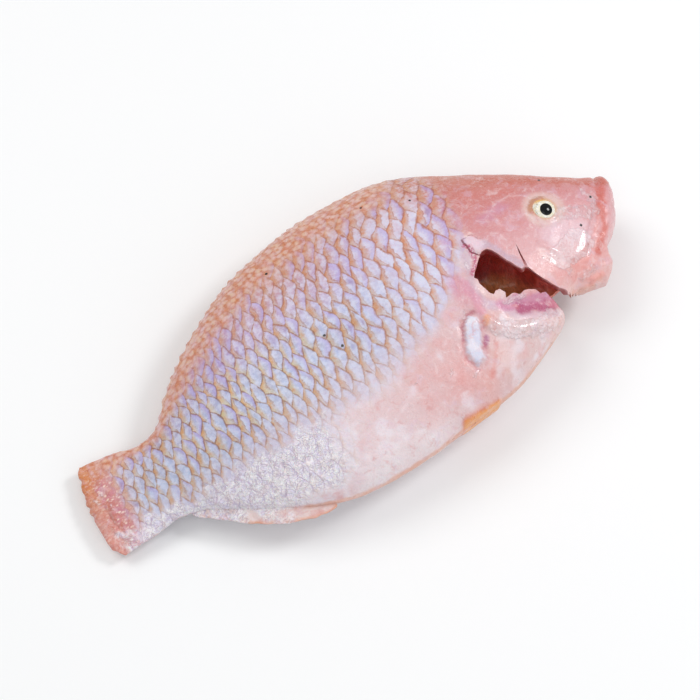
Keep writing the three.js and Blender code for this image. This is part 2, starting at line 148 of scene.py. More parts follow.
HEAD_LINES = [[(61, 15), (68, 16), (77, 12), (81, 15), (88, 15), (93, 13)], [(86, 7), (79, 3)],
              [(76, 11), (76, 7), (77, 3)]]
CREASES = [                             # lines on the skin: x and y, width, height
    ([(58.2, 6.4), (58.5, 3.7), (58.7, 0.7), (59.8, -1.5), (61.5, -3.2)], 0.7, -1.2),
    ([(58.6, 6.6), (62.8, 6.8), (64.4, 3.8)], 0.9, -0.7),
    ([(56.8, 5.8), (56.3, 0), (54.5, -5), (51.5, -10), (51.0, -17)], 1.8, 0.7),
    ([(86, -13.5), (89.5, -19), (95, -22.4), (103, -21.6), (109, -17.5)], 1.0, -0.5),
    ([(86, -11), (90, -16), (95, -20.6), (103, -19.6), (108, -15.5)], 1.6, 0.5),
    ([(44.5, -22), (47, -15), (47, -8)], 1.8, -0.6),
    *((line, 0.8, 0.15) for line in HEAD_LINES),
]
PECTORAL_STUMP = [(42.1, -22.9), (38.2, -24.5), (36.6, -28.5), (34.4, -32.3), (33.1, -36), (35, -40.7),
                  (38.8, -39.4), (40.2, -34.4), (43.9, -28), (44.1, -24.5)]
PELVIC_STUMP = {"from": 16, "to": 41, "angle": (164.5, 173), "level": (62.5, 65), "height": 0.8,
                "width": 2.6}
ANAL_STRIP = {"from": -90, "to": -40, "depth": 6, "root": 5, "half": 5.0, "thin": 0.5, "drop": 1}
TAIL_GROOVES = [[(-121.0, 1), (-121.2, -7), (-120.2, -14), (-117.5, -19.5)],
                [(-118.2, -3), (-118.4, -9), (-117, -15)]]

# ---- small tools


def ease(value, low, high):
    """Goes smoothly from 0 at low to 1 at high, either of which may be the larger."""
    share = np.clip((value - low) / (high - low), 0.0, 1.0)
    return share * share * (3.0 - 2.0 * share)


def between(value, start, full, fading, end):
    """Rises from start to full and falls from fading to end."""
    return ease(value, start, full) * ease(value, end, fading)


def bell(value, middle, reach):
    return np.exp(-(((value - middle) / reach) ** 2))


def lerp(first, second, share):
    return first + (second - first) * share


def unit(vectors):
    return vectors / np.maximum(np.linalg.norm(vectors, axis=-1, keepdims=True), 1e-9)


def spots(x, y, z):
    """Points from their coordinates."""
    return np.stack(np.broadcast_arrays(x, y, z), -1).astype(float)


def along(key, at):
    """Value at a distance along the body of a smooth curve through the stations."""
    at = np.asarray(at, float)
    place, value = STATIONS[:, 0], STATIONS[:, key]
    step = np.diff(place)
    rise = np.diff(value) / step
    slope = np.empty(len(place))
    slope[0], slope[-1] = rise[0], rise[-1]
    slope[1:-1] = (rise[:-1] * step[1:] + rise[1:] * step[:-1]) / (step[:-1] + step[1:])
    i = np.clip(np.searchsorted(place, at) - 1, 0, len(place) - 2)
    h = step[i]
    t = (at - place[i]) / h
    t2, t3 = t * t, t * t * t
    return ((2 * t3 - 3 * t2 + 1) * value[i] + (t3 - 2 * t2 + t) * h * slope[i]
            + (3 * t2 - 2 * t3) * value[i + 1] + (t3 - t2) * h * slope[i + 1])


def section(at):
    """Heights of a section's back, widest place and belly."""
    back, belly = along(BACK, at), along(BELLY, at)
    return back, WIDEST_SHARE * (back + belly), belly


def surface(at, angle):
    """The body's smooth surface, as points of the fish's coordinates."""
    at, angle = np.broadcast_arrays(np.asarray(at, float), np.asarray(angle, float))
    back, widest, belly = section(at)
    c, s = np.cos(angle), np.sin(angle)
    y = widest + c * np.where(c >= 0, back - widest, widest - belly)
    power = np.where(c >= 0, BACK_SHARPNESS, BELLY_SHARPNESS)
    z = along(MID, at) + along(HALF, at) * np.sign(s) * np.abs(s) ** power
    return spots(at + along(LEAN, at) * y, y, z)


def skin_normal(at, angle):
    """Outward normal of that surface."""
    step_at, step_angle = 1.0, 0.02
    du = surface(at + step_at, angle) - surface(at - step_at, angle)
    dv = surface(at, angle + step_angle) - surface(at, angle - step_angle)
    return -unit(np.cross(du, dv))


def cosine_at(at, y):
    """Cosine of the angle at a height of a section."""
    back, widest, belly = section(at)
    return np.clip((y - widest) / np.where(y > widest, back - widest, widest - belly), -1, 1)


def half_at(at, y):
    """Half the body's thickness at a height of a section."""
    c = cosine_at(at, y)
    power = np.where(c > 0, BACK_SHARPNESS, BELLY_SHARPNESS)
    return along(HALF, at) * np.sqrt(1 - c * c) ** power


def skin_place(points):
    """Distance along the body and angle of points on or near the surface."""
    x, y, z = points.T
    at = x
    for _ in range(PLACE_ROUNDS):
        at = x - along(LEAN, np.clip(at, STATIONS[0, 0], STATIONS[-1, 0])) * y
    angle = np.arccos(cosine_at(at, y))
    return at, np.where(z >= along(MID, at), angle, -angle)


def beside(x, y, line):
    """Distance from places to a line through points."""
    best = np.full(np.shape(x), np.inf)
    for (ax, ay), (bx, by) in zip(line, line[1:]):
        length = math.hypot(bx - ax, by - ay)
        ux, uy = (bx - ax) / length, (by - ay) / length
        t = np.clip((x - ax) * ux + (y - ay) * uy, 0, length)
        best = np.minimum(best, np.hypot(x - ax - t * ux, y - ay - t * uy))
    return best


def within(points, outline):
    """Distance inside a closed outline seen from above, negative outside it."""
    x, y = points[..., 0], points[..., 1]
    closed = outline + outline[:1]
    inside = np.zeros(np.shape(x), bool)
    for (ax, ay), (bx, by) in zip(closed, closed[1:]):
        if ay != by:
            inside ^= ((ay > y) != (by > y)) & (x < ax + (bx - ax) * (y - ay) / (by - ay))
    return np.where(inside, 1, -1) * beside(x, y, closed)


def hashed(cells, seed):
    """Random numbers from 0 to 1 that belong to whole-number cells."""
    mixed = cells[..., 0] * 73856093 ^ cells[..., 1] * 19349663 ^ cells[..., 2] * 83492791
    mixed = (mixed ^ (seed * 2654435761)) & 0xFFFFFFFF
    mixed = ((mixed ^ (mixed >> 15)) * 2246822519) & 0xFFFFFFFF
    mixed = ((mixed ^ (mixed >> 13)) * 3266489917) & 0xFFFFFFFF
    return ((mixed ^ (mixed >> 16)) & 0xFFFFFF) / 0xFFFFFF


def noise(points, size, seed):
    """Smooth noise from -1 to 1 with features of the given size."""
    scaled = points / size
    cell = np.floor(scaled).astype(np.int64)
    f = scaled - cell
    f = f * f * (3 - 2 * f)
    total = 0.0
    for corner in np.ndindex(2, 2, 2):
        wx, wy, wz = (f[..., k] if far else 1 - f[..., k] for k, far in enumerate(corner))
        total = total + hashed(cell + np.array(corner), seed) * (wx * wy * wz)
    return 2 * total - 1


def place(points):
    """Points of the fish's coordinates, in metres in the frame."""
    return (np.asarray(points, float) - MIDDLE) * MM


def srgb(red, green, blue):
    """Linear colour of an everyday one from 0 to 255."""
    c = np.array([red, green, blue]) / 255
    return np.where(c <= 0.04045, c / 12.92, ((c + 0.055) / 1.055) ** 2.4)


# ---- scale lattice

ROW_HEIGHT = (8.1, 0.0205)              # height of a row of scales, and its growth along the body
ROW_LEVEL = 1.5                         # the middle row, below the widest line
PITCH_AT = (-118, -40, -30, 20, 70)     # places along the body, and the pitch of scales there
PITCH = (4.75, 4.85, 5.0, 6.2, 6.4)
ARC_TIP = 0.74                          # half height of a scale's front edge, in rows
ARC_POWER = 1.75
SCALE_ASPECT = 0.71                     # pitch of the scales over the height of a row
ARC_SLOPE = SCALE_ASPECT * 0.5 * ARC_POWER / ARC_TIP    # of that edge at its tip
ARC_REACH = 0.787                       # there the next row's edge takes over
LEAN_ABOVE = -20                        # scales lean forward above this level
LEAN_SHARE = 0.25                       # by this share of their height over it


def flank_level(at, angle):
    """Distance round the section below the middle of the flank, in mm."""
    samples = 91
    turn = np.linspace(0, math.pi, samples)
    places = np.linspace(STATIONS[0, 0] - 12, STATIONS[-1, 0] + 12, 200)
    steps = np.diff(surface(places[:, None], turn), axis=1)
    length = np.pad(np.cumsum(np.linalg.norm(steps, axis=-1), axis=1), ((0, 0), (1, 0)))
    length -= length[:, [samples // 2]]
    u = np.clip((at - places[0]) / (places[1] - places[0]), 0, len(places) - 1.001)
    v = np.clip(np.abs(angle) / turn[1], 0, samples - 1.001)
    i, j = u.astype(int), v.astype(int)
    near, far = (lerp(length[i, k], length[i + 1, k], u - i) for k in (j, j + 1))
    return lerp(near, far, v - j)


def lattice(at, level, side):
    """Column and row of every place on the skin, in scales that wander a little."""
    flat = spots(at, level, 40.0 * side)    # apart, so that the two sides wander differently
    at, level = (value + 1.3 * noise(flat, 9.0, seed) + 0.6 * noise(flat, 3.6, seed + 1)
                 for value, seed in ((at, 11), (level, 13)))
    steps = np.linspace(-135, 140, 1101)
    pitch = np.interp((steps[1:] + steps[:-1]) / 2, PITCH_AT, PITCH)
    columns = np.pad(np.cumsum(np.diff(steps) / pitch), (1, 0))
    leaned = at + LEAN_SHARE * np.minimum(level - LEAN_ABOVE, 0)
    row = (level - ROW_LEVEL) / (ROW_HEIGHT[0] + ROW_HEIGHT[1] * at)
    return np.interp(leaned, steps, columns), row


def scale_row(column, row, line):
    """One row's front edge at a place: numbers that scale_at() chooses between."""
    off = abs(row - line)
    front = 0.5 - 0.5 * (off / ARC_TIP) ** ARC_POWER
    shifted = line % 2.0 * 0.5 + front - column
    number = shifted // 1.0
    gap = shifted - number
    slope = (off / ARC_TIP) ** (ARC_POWER - 1) * ARC_SLOPE
    cosine = (slope * slope + 1.0) ** -0.5
    hidden = off > ARC_REACH
    return {"ahead": gap + hidden, "behind": 1.0 - gap + hidden, "front": gap * cosine,
            "rear": (1.0 - gap) * cosine, "number": number, "off": off, "local": front - gap,
            "line": line}


def scale_at(column, row):
    """The scale at places, as numbers or as sockets of nodes.

    front and rear: columns behind its front edge and ahead of its rear edge; off: off-centre in
    rows; local: along it from its middle; number and line: which scale it is.
    """
    near = (row + 0.5) // 1.0
    lines = (near, near + (row > near) * 2.0 - 1.0)
    first, second = (scale_row(column, row, line) for line in lines)
    ahead, behind = (second[key] < first[key] for key in ("ahead", "behind"))
    return {key: first[key] + (second[key] - first[key]) * (behind if key == "rear" else ahead)
            for key in ("front", "rear", "number", "off", "local", "line")}


# Where scales show: above a line along the body, up to the head, off the tail's end.
FIELD_X = (-95, -60, -25, 10, 32, 54, 63, 68)
FIELD_LOW = (-26, -27, -28, -26, -16, 3, 15, 34)
FIELD_BLEND = 11
# The wrinkled band along the belly: its line, as at and level, and its reach to each side.
CRINKLE_LINE = [(-120, 18), (-106, 19), (-95, 20), (-84, 23), (-72, 28), (-58, 34), (-44, 38),
                (-30, 38)]
CRINKLE_AT = (-118, -90, -60, -35, -18)
CRINKLE_REACH = (3, 6, 11, 15, 12)


def scale_field(points, at, level):
    x, y = points[..., 0], points[..., 1]
    ragged = 3.0 * noise(points, 9.0, 21)
    across = ease(y - np.interp(x, FIELD_X, FIELD_LOW) + ragged, -FIELD_BLEND, FIELD_BLEND)
    across = np.maximum(across, 0.85 * crinkle_mask(at, level))
    return across * ease(x + ragged, 72, 62) * ease(at + ragged, -117, -108)


def crinkle_mask(at, level):
    """Where the wet skin along the belly is wrinkled."""
    reach = np.interp(at, CRINKLE_AT, CRINKLE_REACH)
    across = ease(beside(at, level, CRINKLE_LINE), 1.15 * reach, 0.55 * reach)
    return across * between(at, -116, -106, -36, -14)


# ---- relief

RIDGE_HEIGHT = 0.10                     # skin over the edges of the scales
POCKET_DEPTH = 0.06
EDGE_REACH = 0.10                       # in columns, to each side of an edge
FIN_STUBS = {"height": 0.85, "pitch": 4.2, "from": -88, "to": 66, "run": 8, "reach": 0.085}
LIP_FOLD = {"top": 124.6, "low": 117, "from": 75, "to": 122, "depth": 0.8, "reach": 1.1}
LIP_ROLL = {"height": 0.45, "from": 0.5, "full": 3.5, "off_back": 0.2}
MOUTH_BLEND = 3
WAVES = ((22.0, 0.35, 31), (7.0, 0.14, 32), (3.0, 0.05, 33))    # size, height, seed


def lip_relief(at, angle, y):
    """The fold behind the lips and the roll of the upper lip."""
    fold, roll = LIP_FOLD, LIP_ROLL
    low = ease(np.degrees(np.abs(angle)), fold["from"], fold["to"])
    past = at - lerp(fold["top"], fold["low"], low)
    upper = ease(y, MOUTH_LEVEL - MOUTH_BLEND, MOUTH_LEVEL + MOUTH_BLEND)
    off_back = ease(np.sin(angle / 2) ** 2, 0, roll["off_back"])
    height = roll["height"] * ease(past, roll["from"], roll["full"]) * off_back
    return upper * (height - fold["depth"] * bell(past, 0, fold["reach"]))


def stub_relief(at, angle):
    """Stumps of the back fin's rays along the edge of the back."""
    s = FIN_STUBS
    jitter = noise(spots(at, 0, 0), 9.0, 41)
    present = between(at, s["from"], s["from"] + s["run"], s["to"] - s["run"], s["to"])
    wave = 0.5 + 0.5 * np.cos(2 * np.pi * (at / s["pitch"] + 0.35 * jitter))
    height = s["height"] * (1 + 0.4 * jitter) * wave ** 1.5
    return height * present * bell(np.sin(angle / 2), 0, s["reach"])


def ridge_line(count=160):
    """Points along the crest of the shoulder's ridge."""
    knots = np.array(SHOULDER_RIDGE, float)
    share = np.linspace(0, len(knots) - 1, count)
    i = np.clip(share.astype(int), 0, len(knots) - 2)
    t = (share - i)[:, None]
    before, after = knots[np.maximum(i - 1, 0)], knots[np.minimum(i + 2, len(knots) - 1)]
    a, b = knots[i], knots[i + 1]
    curve = 0.5 * (2 * a + (b - before) * t + (2 * before - 5 * a + 4 * b - after) * t ** 2
                   + (3 * a - before - 3 * b + after) * t ** 3)
    return surface(curve[:, 0], np.radians(curve[:, 1]))


def ridge_relief(points):
    """The shoulder's ridge behind the gill opening."""
    x, y, z = np.moveaxis(points, -1, 0)
    close = (x > 35) & (y < 20) & (z > 10)
    far = np.full(close.sum(), np.inf)
    for spot in ridge_line():
        far = np.minimum(far, np.linalg.norm(points[close] - spot, axis=-1))
    crest = np.sqrt(np.maximum(SHOULDER_RADIUS ** 2 - far ** 2, 0)) - SHOULDER_SINK
    height = np.zeros(close.shape)
    height[close] = np.maximum(crest, 0) * 0.75 + 0.45 * bell(far, 0, SHOULDER_RADIUS)
    return height


def wound_relief(points):
    """The cut muscle under the opening, creases, and the folds of skin of the right side."""
    x, y = points[..., 0], points[..., 1]
    height = -MUSCLE["depth"] * bell(beside(x, y, MUSCLE["line"]), 0, MUSCLE["reach"])
    height = height * (1 + 0.12 * noise(points, 2.0, 42))
    for line, width, tall in CREASES:
        height = height + tall * bell(beside(x, y, line), 0, width)
    return height * (points[..., 2] > 24)


def eye_centres():
    return [surface(EYE["at"], sign * math.radians(EYE["angle"])) for sign in (1, -1)]


def fin_relief(at, angle, points):
    """What is left of the paired fins, and the rings of skin round the eyes."""
    inside = within(points, PECTORAL_STUMP) + 0.4 * noise(points, 1.6, 43)
    height = 1.1 * ease(inside, -0.5, 0.9) - 0.7 * bell(inside, -1.3, 0.9)
    height = height * (np.abs(np.sin(angle)) > 0.4)
    s = PELVIC_STUMP
    middle = np.interp(at, (s["from"], s["to"]), np.radians(s["angle"]))
    off = (np.abs(angle) - middle) * along(HALF, at)
    ends = between(at, s["from"] - 1, s["from"] + 5, s["to"] - 3, s["to"])
    height = height + s["height"] * ends * bell(off, 0, s["width"])
    for centre in eye_centres():
        far = np.linalg.norm(points - centre, axis=-1)
        height = height + sum(tall * bell(far, radius, width) for radius, width, tall in SOCKET)
    return height


def tail_relief(at, points):
    """Grain and grooves of the skin where the tail fin was."""
    grain = ease(at + 2 * noise(points, 4.0, 44), -108, -115)
    height = grain * (0.28 * noise(points, 1.3, 45) + 0.12 * noise(points, 0.9, 46))
    for line in TAIL_GROOVES:
        height = height - 0.55 * bell(beside(points[..., 0], points[..., 1], line), 0, 0.7)
    return height


def relief(at, angle, level, points):
    """Height over the smooth surface of all that stands on it."""
    y = points[..., 1]
    scale = scale_at(*lattice(at, level, np.sign(np.sin(angle))))
    front, rear = scale["front"], scale["rear"]
    edge = bell(front, 0, EDGE_REACH) + bell(rear, 0, EDGE_REACH)
    hollow = ease(np.minimum(front, rear), 0.0, 0.35)
    height = scale_field(points, at, level) * (RIDGE_HEIGHT * edge - POCKET_DEPTH * hollow)
    for size, tall, seed in WAVES:
        height = height + tall * noise(points, size, seed) * ease(at, -122, -100)
    wrinkles = 0.22 * noise(points, 2.0, 47) + 0.2 * noise(points, 4.0, 48)
    height = height + wrinkles * crinkle_mask(at, level)
    height = height + stub_relief(at, angle) + lip_relief(at, angle, y)
    height = height + ridge_relief(points) + wound_relief(points)
    height = height + fin_relief(at, angle, points) + tail_relief(at, points)
    height = height + 0.12 * noise(points, 1.7, 34) * ease(at, 117, 121)
    height = height + 0.3 * noise(points, 1.9, 35) * ease(at, 97, 103) * ease(y, -21, -27)
    return height * ease(points[..., 2], 0.3, 4.0)


# ---- meshes


def in_scene(name, data):
    made = bpy.data.objects.new(name, data)
    bpy.context.scene.collection.objects.link(made)
    return made


def new_object(name, points, faces, material):
    """Object from points of the fish's coordinates, its faces turned to look out."""
    mesh = bpy.data.meshes.new(name)
    mesh.from_pydata(place(points).tolist(), [], faces)
    mesh.materials.append(material)
    work = bmesh.new()
    work.from_mesh(mesh)
    bmesh.ops.recalc_face_normals(work, faces=work.faces)
    work.to_mesh(mesh)
    work.free()
    return in_scene(name, mesh)


def ring_faces(rings, around):
    """Faces between rings of as many points each, open at the ends."""
    start = np.arange(rings - 1)[:, None] * around
    k = np.arange(around)
    after = (k + 1) % around
    quads = np.stack([start + k, start + after, start + around + after, start + around + k], -1)
    return quads.reshape(-1, 4).tolist()


def ring_solid(name, rings, material):
    """Solid from rings of as many points each, closed by a face at either end."""
    around, last = len(rings[0]), (len(rings) - 1) * len(rings[0])
    ends = [list(range(around)), list(range(last, last + around))]
    return new_object(name, np.concatenate(rings), ring_faces(len(rings), around) + ends, material)


def end_strip(first, around, flip):
    """Faces that join each point of a ring to its opposite number across it."""
    half = around // 2
    faces = [[first, first + 1, first + around - 1]]
    for i in range(1, half - 1):
        faces.append([first + i, first + i + 1, first + around - i - 1, first + around - i])
    faces.append([first + half - 1, first + half, first + half + 1])
    return [face[::-1] for face in faces] if flip else faces


def end_rings(ring, at, bulge, taper):
    """Rings that round off an end section, flat in z at the last."""
    lean, back, belly, mid = (along(key, at) for key in (LEAN, BACK, BELLY, MID))
    old_x, old_y, old_z = ring.T
    middle = (back + belly) / 2
    rel = np.clip((old_y - middle) / ((back - belly) / 2), -1, 1)
    rings = []
    for u in END_STEPS:
        k = math.sqrt(1 - u * u)
        y = middle + (old_y - middle) * (1 - (1 - k) * taper)
        x = old_x + lean * (y - old_y) + u * bulge(y, rel)
        rings.append(spots(x, y, np.maximum(mid + (old_z - mid) * k, 0)))
    return rings


def snout_bulge(y, rel):
    face = SNOUT_BULGE * lerp(SNOUT_FLOOR, 1.0, np.sqrt(1 - rel ** 4))
    face = face - MOUTH_DENT * bell(y, MOUTH_LEVEL, MOUTH_DENT_REACH)
    return face + 0.3 * noise(spots(0, y, 0), 1.3, 52)


def tail_bulge(y, rel):
    face = -TAIL_BULGE * np.sqrt(1 - rel ** 2) * (1 - TAIL_SKEW * rel)
    return face + 0.7 * noise(spots(0, y, 0), 2.0, 51)


def skin_mesh(material):
    """The body's skin with all its relief, and at and angle kept on its points."""
    u = 2 * np.arange(AROUND) / AROUND
    angle = np.pi * u + ROUND_SPREAD * np.sin(2 * np.pi * u)
    angle = np.where(angle > np.pi, angle - 2 * np.pi, angle)
    first, last = STATIONS[0, 0], STATIONS[-1, 0]
    at, angle = np.meshgrid(np.linspace(first, last, RINGS), angle, indexing="ij")
    points = surface(at, angle)
    height = relief(at, angle, flank_level(at, angle), points)
    points = points + skin_normal(at, angle) * height[..., None]
    points[..., 2] = np.maximum(points[..., 2], 0)
    tail = end_rings(points[0], first, tail_bulge, TAIL_TAPER)[::-1]
    snout = end_rings(points[-1], last, snout_bulge, SNOUT_TAPER)
    rings = np.concatenate([tail, points, snout])
    faces = ring_faces(len(rings), AROUND)
    faces += end_strip(0, AROUND, False) + end_strip((len(rings) - 1) * AROUND, AROUND, True)
    piece = new_object("fish_skin", rings.reshape(-1, 3), faces, material)
    known = np.pad(spots(at, angle, 1), ((len(tail), len(snout)), (0, 0), (0, 0)), "edge")
    put(piece.data, "known", known)
    return piece


def put(mesh, name, values):
    """Keeps three numbers on each point of a mesh."""
    layer = mesh.attributes.new(name, "FLOAT_VECTOR", "POINT")
    layer.data.foreach_set("vector", np.asarray(values, np.float32).ravel())


def take(mesh, name):
    values = np.empty(len(mesh.vertices) * 3, np.float32)
    mesh.attributes[name].data.foreach_get("vector", values)
    return values.reshape(-1, 3).astype(float)


def mesh_points(mesh):
    """A mesh's points in the fish's coordinates."""
    values = np.empty(len(mesh.vertices) * 3)
    mesh.vertices.foreach_get("co", values)
    return values.reshape(-1, 3) / MM + MIDDLE


# ---- cutters


def resampled(outline, step):
    """A closed outline with a point about every step, its corners slightly eased."""
    knots = np.array(outline, float)
    after = np.roll(knots, -1, 0)
    eased = np.stack([lerp(knots, after, 0.12), lerp(knots, after, 0.88)], 1).reshape(-1, 2)
    points = []
    for a, b in zip(eased, np.roll(eased, -1, 0)):
        count = max(1, round(float(np.linalg.norm(b - a)) / step))
        points += [lerp(a, b, i / count) for i in range(count)]
    return np.array(points)


def ragged_prism(name, outline, bottom, top, step, rough, material):
    """Upright solid over an outline, its walls uneven."""
    flat = resampled(outline, step)
    way = unit(np.roll(flat, -1, 0) - np.roll(flat, 1, 0))
    out = spots(way[:, 1], -way[:, 0], 0)
    rings = []
    for z in np.linspace(bottom, top, max(2, round((top - bottom) / (1.6 * step)))):
        ring = spots(flat[:, 0], flat[:, 1], z)
        shift = rough * (noise(ring, 3.2, 61) + 0.6 * noise(ring, 1.3, 62))
        rings.append(ring + out * shift[:, None])
    return ring_solid(name, rings, material)


def gill_chamber(material):
    """The hollow that the gills were in, its walls uneven like torn flesh."""
    places, lows, highs = np.array(CHAMBER, float).T
    turn = 2 * np.pi * np.arange(72) / 72
    s = np.sin(turn)
    rings = []
    for at in np.linspace(places[0], places[-1], 64):
        low, high = np.interp(at, places, lows), np.interp(at, places, highs)
        y = (low + high) / 2 + (high - low) / 2 * np.cos(turn)
        deep = np.maximum(half_at(at, y) - CHAMBER_WALL, 1)
        z = along(MID, at) + deep * np.sign(s) * np.abs(s) ** CHAMBER_SHARPNESS
        ring = spots(at + along(LEAN, at) * y, y, z)
        centre = ring.mean(0)
        shift = 1 + 0.05 * noise(ring, 6.0, 71) + 0.025 * noise(ring, 2.2, 72)
        rings.append(centre + (ring - centre) * shift[:, None])
    return ring_solid("cut_chamber", rings, material)


def anal_strip(material):
    """What is left of the fin behind the vent: a thin blade along the belly."""
    s = ANAL_STRIP
    rings, shares = [], np.linspace(0, 1, 9)
    for share in np.linspace(0.004, 0.996, 90):
        at = lerp(s["from"], s["to"], share)
        root = along(BELLY, at) + s["root"] * 0.9
        edge = along(BELLY, at) - s["depth"] * math.sqrt(math.sin(math.pi * share))
        edge += 0.35 * float(noise(np.array([at, 0.0, 0.0]), 2.5, 82))
        mid = along(MID, at) - s["drop"]
        y = lerp(root, edge, shares)
        half = lerp(s["half"] * math.sin(math.pi * share) ** 0.4, s["thin"], shares ** 0.6)
        half = half + 0.14 * noise(spots(at, y, 0), 1.8, 83)
        rings.append(np.concatenate([spots(at, y, mid + half), spots(at, y, mid - half)[::-1]]))
    return ring_solid("add_anal_strip", rings, material)


# ---- node graphs


class Socket:
    """Output of a node that makes further nodes when it is computed with."""

    def __init__(self, graph, output):
        self.graph, self.output = graph, output

    def __rsub__(self, other):
        return self.graph.math("SUBTRACT", other, self)

    def __abs__(self):
        return self.graph.math("ABSOLUTE", self)

    def __floordiv__(self, one):
        """The whole part, for a division by 1 alone."""
        return self.graph.math("FLOOR", self)


def computed(operation):
    """Method that makes a math node of a socket and another value."""
    return lambda socket, other: socket.graph.math(operation, socket, other)


for operation, methods in {"ADD": "add radd", "SUBTRACT": "sub", "MULTIPLY": "mul rmul",
                           "DIVIDE": "truediv", "POWER": "pow", "LESS_THAN": "lt",
                           "GREATER_THAN": "gt", "FLOORED_MODULO": "mod"}.items():
    for method in methods.split():
        setattr(Socket, f"__{method}__", computed(operation))


class Graph:
    """Node tree of a material with one Principled shader. Its sizes are in mm."""

    def __init__(self, name):
        self.material = bpy.data.materials.new(name)
        self.material.use_nodes = True
        self.tree = self.material.node_tree
        self.tree.nodes.clear()
        self.shader = self.tree.nodes.new("ShaderNodeBsdfPrincipled")
        output = self.tree.nodes.new("ShaderNodeOutputMaterial")
        self.tree.links.new(self.shader.outputs["BSDF"], output.inputs["Surface"])

    def put(self, value, target):
        if isinstance(value, Socket):
            self.tree.links.new(value.output, target)
        elif np.ndim(value) == 1 and len(value) == 3 and len(target.default_value) == 4:
            target.default_value = (*value, 1.0)
        else:
            target.default_value = value

    def set(self, **inputs):
        for key, value in inputs.items():
            self.put(value, self.shader.inputs[key.replace("_", " ")])

    def node(self, kind, output, inputs, **settings):
        made = self.tree.nodes.new("ShaderNode" + kind)
        for key, value in settings.items():
            setattr(made, key, value)
        for key, value in inputs.items():
            self.put(value, made.inputs[key])
        return Socket(self, made.outputs[output])

    def math(self, operation, *values):
        return self.node("Math", 0, dict(enumerate(values)), operation=operation)

    def most(self, first, second):
        return self.math("MAXIMUM", first, second)

    def ramp(self, value, low, high, first=0.0, second=1.0):
        """Eases from first to second while the value goes from low to high."""
        inputs = {"Value": value, "From Min": low, "From Max": high,
                  "To Min": first, "To Max": second}
        return self.node("MapRange", "Result", inputs, interpolation_type="SMOOTHSTEP")

    def mix(self, share, first, second):
        """Colour between two, each a socket or three numbers from 0 to 255."""
        first, second = (srgb(*c) if isinstance(c, tuple) else c for c in (first, second))
        return self.node("Mix", 2, {"Factor": share, 6: first, 7: second}, data_type="RGBA")

    def over(self, colour, *layers):
        """Colour with layers laid over it, each a share and a colour."""
        for share, shade in layers:
            colour = self.mix(share, colour, shade)
        return colour

    def noise(self, vector, size, detail=2.0, rough=0.5, warp=0.0):
        """Noise from about 0 to 1 with features of the given size."""
        inputs = {"Vector": vector, "Scale": 1.0 / size, "Detail": detail,
                  "Roughness": rough, "Distortion": warp}
        return self.node("TexNoise", "Fac", inputs)

    def cells(self, vector, size, uneven=1.0):
        """Distance to the middle of the nearest of scattered cells."""
        inputs = {"Vector": vector, "Scale": 1 / size, "Randomness": uneven}
        return self.node("TexVoronoi", "Distance", inputs)

    def of_vector(self, operation, output, vector, other):
        return self.node("VectorMath", output, {0: vector, 1: other}, operation=operation)

    def millimetres(self):
        """The object's own coordinates in mm."""
        inside = self.node("TexCoord", "Object", {})
        return self.of_vector("MULTIPLY", "Vector", inside, (1 / MM, 1 / MM, 1 / MM))

    def attribute(self, name):
        return self.node("Attribute", "Vector", {}, attribute_name=name)

    def parts(self, vector):
        """The three numbers of a vector or of a named attribute."""
        vector = self.attribute(vector) if isinstance(vector, str) else vector
        x = self.node("SeparateXYZ", 0, {0: vector})
        return [Socket(self, output) for output in x.output.node.outputs]

    def vector(self, x, y, z):
        return self.node("CombineXYZ", 0, {0: x, 1: y, 2: z})

    def bump(self, height, strength, distance):
        inputs = {"Height": height, "Strength": strength, "Distance": distance * MM}
        return self.node("Bump", "Normal", inputs)


# ---- materials

MEAN_PITCH = 5.6                        # mm from a scale to the next along its row
LENS_BACK = 0.19                        # a scale's pale lens reaches back past its middle, in columns
LENS_POWER = 1.75
# Dark specks: x, y and radius.
SPECKS = [(119.5, -0.9, 0.6), (107.3, -10.6, 0.6), (106.3, 17.8, 0.6), (-14.3, 42.1, 0.6),
          (-10.9, 2.0, 0.6), (-7.3, -5.9, 0.65), (34.4, 45.8, 0.5), (52.5, 36.2, 0.5)]


def scale_pattern(g, column, row):
    """Distances in mm at a place of the skin to the edges of its scale, and random numbers.

    front and rear: behind the scale's front edge and ahead of its rear edge; lens: inside the
    pale lens that fills its front; off: off-centre in rows, lift the same toward the back;
    chance: three numbers of the scale's own.
    """
    scale = scale_at(column, row)
    lens_edge = (scale["off"] / ARC_TIP) ** LENS_POWER * LENS_BACK - LENS_BACK
    seed = g.vector(scale["number"], scale["line"], 0.0)
    return {"front": scale["front"] * MEAN_PITCH, "rear": scale["rear"] * MEAN_PITCH,
            "lens": (scale["local"] - lens_edge) * MEAN_PITCH, "off": scale["off"],
            "lift": scale["line"] - row,
            "chance": g.parts(g.node("TexWhiteNoise", "Color", {"Vector": seed}))}


